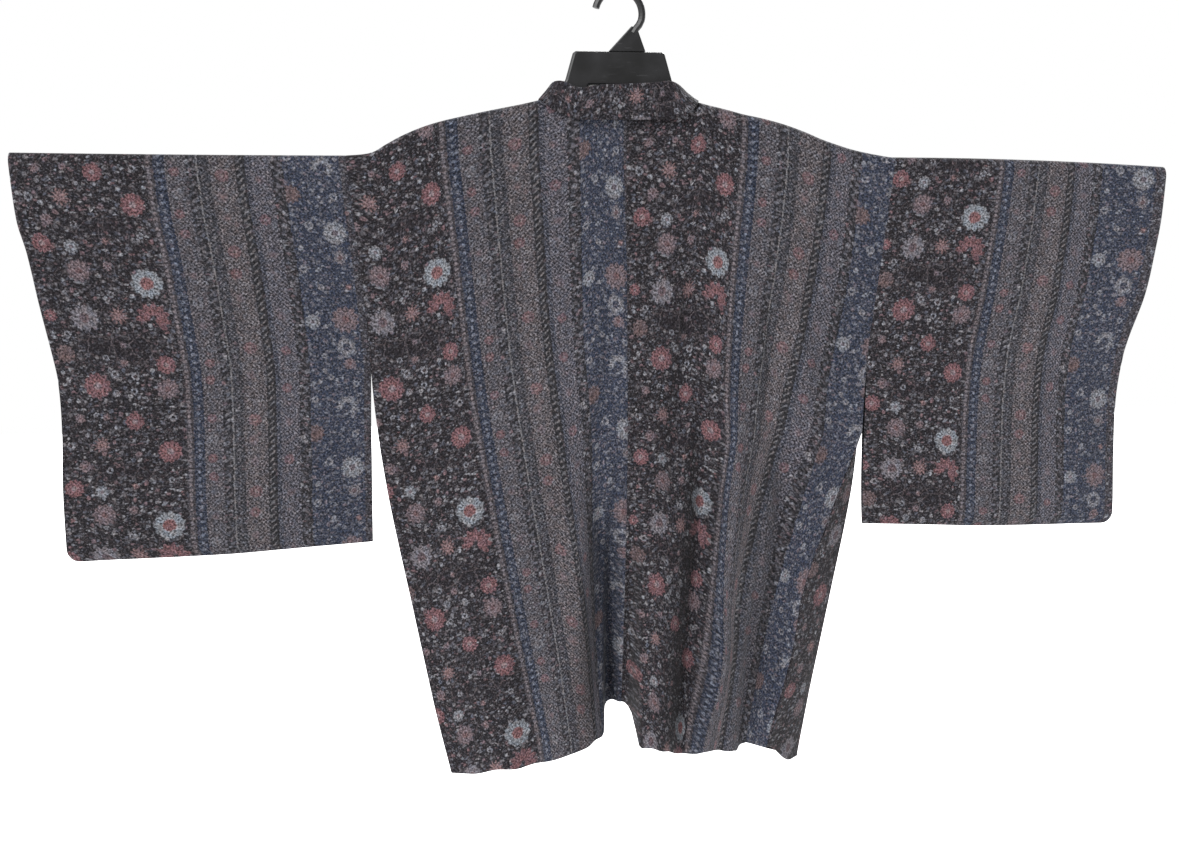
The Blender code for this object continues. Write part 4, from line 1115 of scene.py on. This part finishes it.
def stemmed(n, mapped, colour, bare, where):
    """Thin crossing stems, clearest where the ground is bare."""
    for scale, fine, lift in STEMS:
        distance = n.cells(mapped, scale, "DISTANCE_TO_EDGE")["Distance"]
        thread = n.minus(1.0, n.times(distance, fine), clamp=True)
        thread = n.times(thread, n.times_plus(bare, 0.30, lift))
        colour = n.mix(n.times(thread, where), colour, rgb(116, 106, 108))
    return colour


def beaded(n, across, along, colour):
    """Beads and slanting stitches drawn in the narrow stripes."""
    for centre, half, pitch, tint, strength in BEADS:
        y = n.times(n.minus(n.fract(n.over(along, pitch)), 0.5), pitch / half)
        x = n.over(n.minus(across, centre), half)
        bead = n.times(n.minus(1.0, n.square(x, y)), 2.0, clamp=True)
        colour = n.mix(n.times(bead, strength), colour, rgb(*tint))
    for centre, half, pitch, lean, tint, strength in STITCHES:
        slant = n.times_plus(n.minus(across, centre), lean, along)
        dash = n.band(n.fract(n.over(slant, pitch)), 0.15, 0.62, 0.16)
        dash = n.times(dash, n.band(across, centre - half, centre + half, 0.0014))
        colour = n.mix(n.times(dash, strength), colour, rgb(*tint))
    return colour


def flowered(n, across, along, colour, lanes):
    """The lanes of flowers over the colour, and how much they cover."""
    bloom = bloom_group()
    covered = 0.0
    for lane, here, strength in lanes:
        origin, stops = lane_stops(lane)
        turn = n.fract(n.minus(n.over(along, REPEAT), origin))
        found, kind = n.steps(turn, stops)
        at, aside, radius = n.split("Color", found)
        sources = {
            "Across": n.minus(across, n.times(aside, BOLT)),
            "Along": n.times(n.minus(turn, at), REPEAT),
            "Radius": n.times(radius, WIDEST),
            "Kind": kind,
        }
        cover, tint = n.add("ShaderNodeGroup", sources, node_tree=bloom).outputs[:2]
        cover = n.times(cover, here)
        colour = n.mix(n.times(cover, strength), colour, tint)
        covered = n.larger(covered, cover)
    return colour, covered


def netted(n, x, y, colour, net, covered):
    """The net of tied dots over everything, clearest on grey."""
    slants = n.plus(x, y), n.minus(x, y)
    far = n.root(n.square(*[n.minus(n.fract(n.over(slant, NET)), 0.5) for slant in slants]))
    knot = n.times(n.minus(KNOT, far), 5.0, clamp=True)
    glint = n.times(n.minus(far, GLINT), 7.0, clamp=True)
    seen = n.times(net, n.minus(1.0, n.times(covered, 0.6)))
    seen = n.larger(seen, n.times(covered, 0.46))
    colour = n.mix(n.times(knot, n.times(seen, KNOT_SHARE)), colour, rgb(36, 34, 40))
    return n.mix(n.times(glint, n.times(seen, GLINT_SHARE)), colour, rgb(154, 150, 154))


def dyed(n, cloth, colour, grain):
    """Uneven dyeing: warm and cool patches, light and dark ones, and fine grain."""
    tone, _ = n.steps(n.noise(cloth, 150.0)[0], TONES, smooth=True)
    colour = n.mix(0.80, colour, tone, blend="MULTIPLY")
    level = n.times_plus(n.minus(grain, 0.5), GRAIN_CONTRAST, LEVEL)
    level = n.plus(level, n.times(n.minus(n.noise(cloth, 9.0)[0], 0.5), CLOUD_CONTRAST))
    sources = {0: colour, "Scale": n.larger(level, LEAST_LEVEL)}
    return n.add("ShaderNodeVectorMath", sources, operation="SCALE").outputs[0]


def print_nodes(n):
    """The printed cloth's colour, its map and the unevenness of its surface."""
    cloth = n.add("ShaderNodeUVMap", uv_map="cloth").outputs[0]
    shake = n.vector("SUBTRACT", n.noise(cloth, 330.0, 1.0)["Color"], (0.5, 0.5, 0.5))
    mapped = n.vector("MULTIPLY_ADD", shake, (PRINT_SHAKE, PRINT_SHAKE, 0.0), cloth)
    across, along, _ = n.split("XYZ", mapped)
    ground, net, specks, blue = striped(n, across)
    in_dark = n.less(across, LIGHT_LINE)
    in_blue = n.more(across, BLUE_LINE)
    in_grey = n.minus(1.0, n.plus(in_dark, in_blue))

    # the barer part of the dark stripe, twice in each repeat
    turn = n.fract(n.over(along, REPEAT))
    bare = n.larger(n.band(turn, 0.17, 0.33, 0.05), n.band(turn, 0.72, 0.82, 0.04))
    bare = n.times(bare, n.band(across, 0.030, 0.130, 0.02))
    fewer = n.times(specks, n.times_plus(bare, -0.65, 1.0))
    colour = n.mix(n.times(bare, 0.45), ground, rgb(38, 33, 38))

    colour = speckled(n, mapped, colour, blue, fewer)
    where = n.larger(in_dark, n.times(in_blue, 0.6))
    colour = stemmed(n, mapped, colour, bare, where)
    colour = beaded(n, across, along, colour)
    lanes = (
        [(lane, in_dark, FLOWERS_CLEAR) for lane in DARK_LANES]
        + [(lane, in_blue, FLOWERS_CLEAR) for lane in BLUE_LANES]
        + [(lane, in_grey, FLOWERS_FAINT) for lane in GREY_LANES]
    )
    colour, covered = flowered(n, across, along, colour, lanes)
    loose = n.vector("MULTIPLY_ADD", shake, (NET_SHAKE, NET_SHAKE, 0.0), cloth)
    net_x, net_y, _ = n.split("XYZ", loose)
    colour = netted(n, net_x, net_y, colour, net, covered)
    grain = n.noise(cloth, 420.0, 3.0)[0]
    return dyed(n, cloth, colour, grain), cloth, grain


THREAD = 0.00085         # from one thread of the weave to the next but one


def weave_bump(n, cloth, grain):
    """Normals of a fine crepe: crossing threads and its uneven grain."""
    across, along, _ = n.split("XYZ", cloth)
    warp = n.sine(n.times(across, 2 * math.pi / THREAD))
    weft = n.sine(n.times(along, 2 * math.pi / THREAD))
    height = n.times_plus(n.times(warp, weft), 0.15, n.times(grain, 0.9))
    return n.bump(height, 0.45, 0.0006)


def start_material(name):
    material = bpy.data.materials.new(name)
    material.use_nodes = True
    material.node_tree.nodes.clear()
    n = Nodes(material.node_tree)
    shader = n.add("ShaderNodeBsdfPrincipled")
    n.add("ShaderNodeOutputMaterial", {0: shader.outputs[0]})
    shader.inputs["Metallic"].default_value = 0.0
    return material, n, shader


def printed_cloth():
    material, n, shader = start_material("printed_crepe")
    colour, cloth, grain = print_nodes(n)
    n.join(colour, shader.inputs["Base Color"])
    n.join(n.times_plus(grain, 0.16, 0.80), shader.inputs["Roughness"])
    n.join(weave_bump(n, cloth, grain), shader.inputs["Normal"])
    shader.inputs["Specular IOR Level"].default_value = 0.08
    shader.inputs["Sheen Weight"].default_value = 0.03
    shader.inputs["Sheen Roughness"].default_value = 0.5
    return material


def plain_cloth():
    """The wrong side: plain, dark, with the same grain."""
    material, n, shader = start_material("plain_inside")
    cloth = n.add("ShaderNodeUVMap", uv_map="cloth").outputs[0]
    grain, cloud = n.noise(cloth, 700.0)[0], n.noise(cloth, 14.0)[0]
    colour = n.mix(grain, rgb(38, 36, 42), rgb(66, 62, 70))
    colour = n.mix(n.times(cloud, 0.25), colour, rgb(52, 52, 62))
    n.join(colour, shader.inputs["Base Color"])
    n.join(n.times_plus(grain, 0.2, 0.62), shader.inputs["Roughness"])
    n.join(weave_bump(n, cloth, grain), shader.inputs["Normal"])
    shader.inputs["Specular IOR Level"].default_value = 0.12
    return material


def moulded_plastic():
    """Black plastic, unevenly dusty, with faint scuffs that run upwards."""
    material, n, shader = start_material("moulded_black_plastic")
    where = n.add("ShaderNodeTexCoord").outputs["Object"]
    fine = n.noise(where, 900.0, 2.0, "3D")[0]
    broad = n.noise(where, 28.0, 3.0, "3D")[0]
    stretched = n.mapping(where, Rotation=(0.0, 0.5, 0.0), Scale=(40.0, 40.0, 420.0))
    marks = n.band(n.noise(stretched, 1.0, 2.0, "3D")[0], 0.66, 1.0, 0.05)
    patch = n.times(n.minus(broad, 0.35), 3.2, clamp=True)
    colour = n.mix(patch, rgb(8, 8, 10), rgb(36, 36, 39))
    colour = n.mix(n.times(marks, 0.30), colour, rgb(80, 80, 84))
    n.join(colour, shader.inputs["Base Color"])
    rough = n.times_plus(broad, 0.20, 0.34)
    n.join(n.plus(rough, n.times(marks, 0.12)), shader.inputs["Roughness"])
    n.join(n.bump(fine, 0.25, 0.0002), shader.inputs["Normal"])
    shader.inputs["Specular IOR Level"].default_value = 0.25
    return material


def pale_floor():
    material, n, shader = start_material("pale_floor")
    where = n.add("ShaderNodeTexCoord").outputs["Object"]
    cloud = n.noise(where, 0.6, 2.0, "3D")[0]
    colour = n.mix(cloud, (0.955, 0.955, 0.955, 1), (0.985, 0.985, 0.985, 1))
    n.join(colour, shader.inputs["Base Color"])
    shader.inputs["Roughness"].default_value = 0.9
    return material


# ---------------------------------------------------------------- camera and light

# The view: the photograph's frame is taken as 1179 x 848
TARGET = Vector((-0.0358, 0.0, -0.4963))
DISTANCE = 1.455
AZIMUTH = math.radians(-7.5)
ELEVATION = math.radians(9.0)
ROLL = math.radians(-0.27)
FOCAL_PIXELS = 1213.0
FRAME_PIXELS = 1179.0
SENSOR = 36.0            # millimetres
FLOOR_HALF, FLOOR_Z = 8.0, -1.75


def direction(azimuth, elevation):
    """Towards a place; azimuth 0 is in front of the garment's back."""
    level = math.cos(elevation)
    return Vector((math.sin(azimuth) * level, -math.cos(azimuth) * level, math.sin(elevation)))


def add_camera():
    back = direction(AZIMUTH, ELEVATION)
    right = (-back).cross(Vector((0, 0, 1))).normalized()
    up = right.cross(-back)
    turned = right * math.cos(ROLL) + up * math.sin(ROLL)
    raised = up * math.cos(ROLL) - right * math.sin(ROLL)
    data = bpy.data.cameras.new("view")
    data.sensor_width = SENSOR
    data.lens = FOCAL_PIXELS / FRAME_PIXELS * SENSOR
    data.clip_start = 0.05
    camera = put("view", data)
    where = TARGET + back * DISTANCE
    camera.matrix_world = Matrix((
        (turned.x, raised.x, back.x, where.x),
        (turned.y, raised.y, back.y, where.y),
        (turned.z, raised.z, back.z, where.z),
        (0, 0, 0, 1),
    ))
    bpy.context.scene.camera = camera


def add_lamp(name, azimuth, elevation, softness, strength):
    """A broad far lamp."""
    data = bpy.data.lights.new(name, "SUN")
    data.angle = math.radians(softness)
    data.energy = strength
    towards = direction(math.radians(azimuth), math.radians(elevation))
    put(name, data).rotation_euler = towards.to_track_quat("Z", "Y").to_euler()


def add_surroundings():
    world = bpy.data.worlds.new("studio")
    world.use_nodes = True
    colour, strength = world.node_tree.nodes["Background"].inputs[:2]
    colour.default_value = (1.0, 1.0, 1.0, 1.0)
    strength.default_value = 1.0
    bpy.context.scene.world = world
    bpy.context.scene.view_settings.view_transform = "Standard"
    mesh = bpy.data.meshes.new("floor")
    corners = [(-1, -1), (1, -1), (1, 1), (-1, 1)]
    mesh.from_pydata(
        [(FLOOR_HALF * x, FLOOR_HALF * y, FLOOR_Z) for x, y in corners], [], [(0, 1, 2, 3)]
    )
    mesh.materials.append(pale_floor())
    floor = put("floor", mesh)
    add_lamp("key", azimuth=-38, elevation=32, softness=25, strength=5.6)
    add_lamp("front_key", azimuth=150, elevation=35, softness=25, strength=3.6)


# ---------------------------------------------------------------- the scene

def main():
    printed, plain = printed_cloth(), plain_cloth()
    plastic = moulded_plastic()
    for name in ("hanger", "hanger_hook"):
        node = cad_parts[name]
        node.data.materials.clear()
        node.data.materials.append(plastic)
    shells = {"collar": collar()}
    for side in (-1, 1):
        shells[f"body_{SIDE_NAME[side]}"] = body_panel(side)
        shells[f"sleeve_{SIDE_NAME[side]}"] = sleeve(side)
        shells[f"gusset_{SIDE_NAME[side]}"] = gusset(side)
    for name, parts in shells.items():
        shell = add_shell(f"{name}_cloth", parts, (printed, plain))
        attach(shell, "root")
        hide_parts(name)
    add_camera()
    add_surroundings()


main()
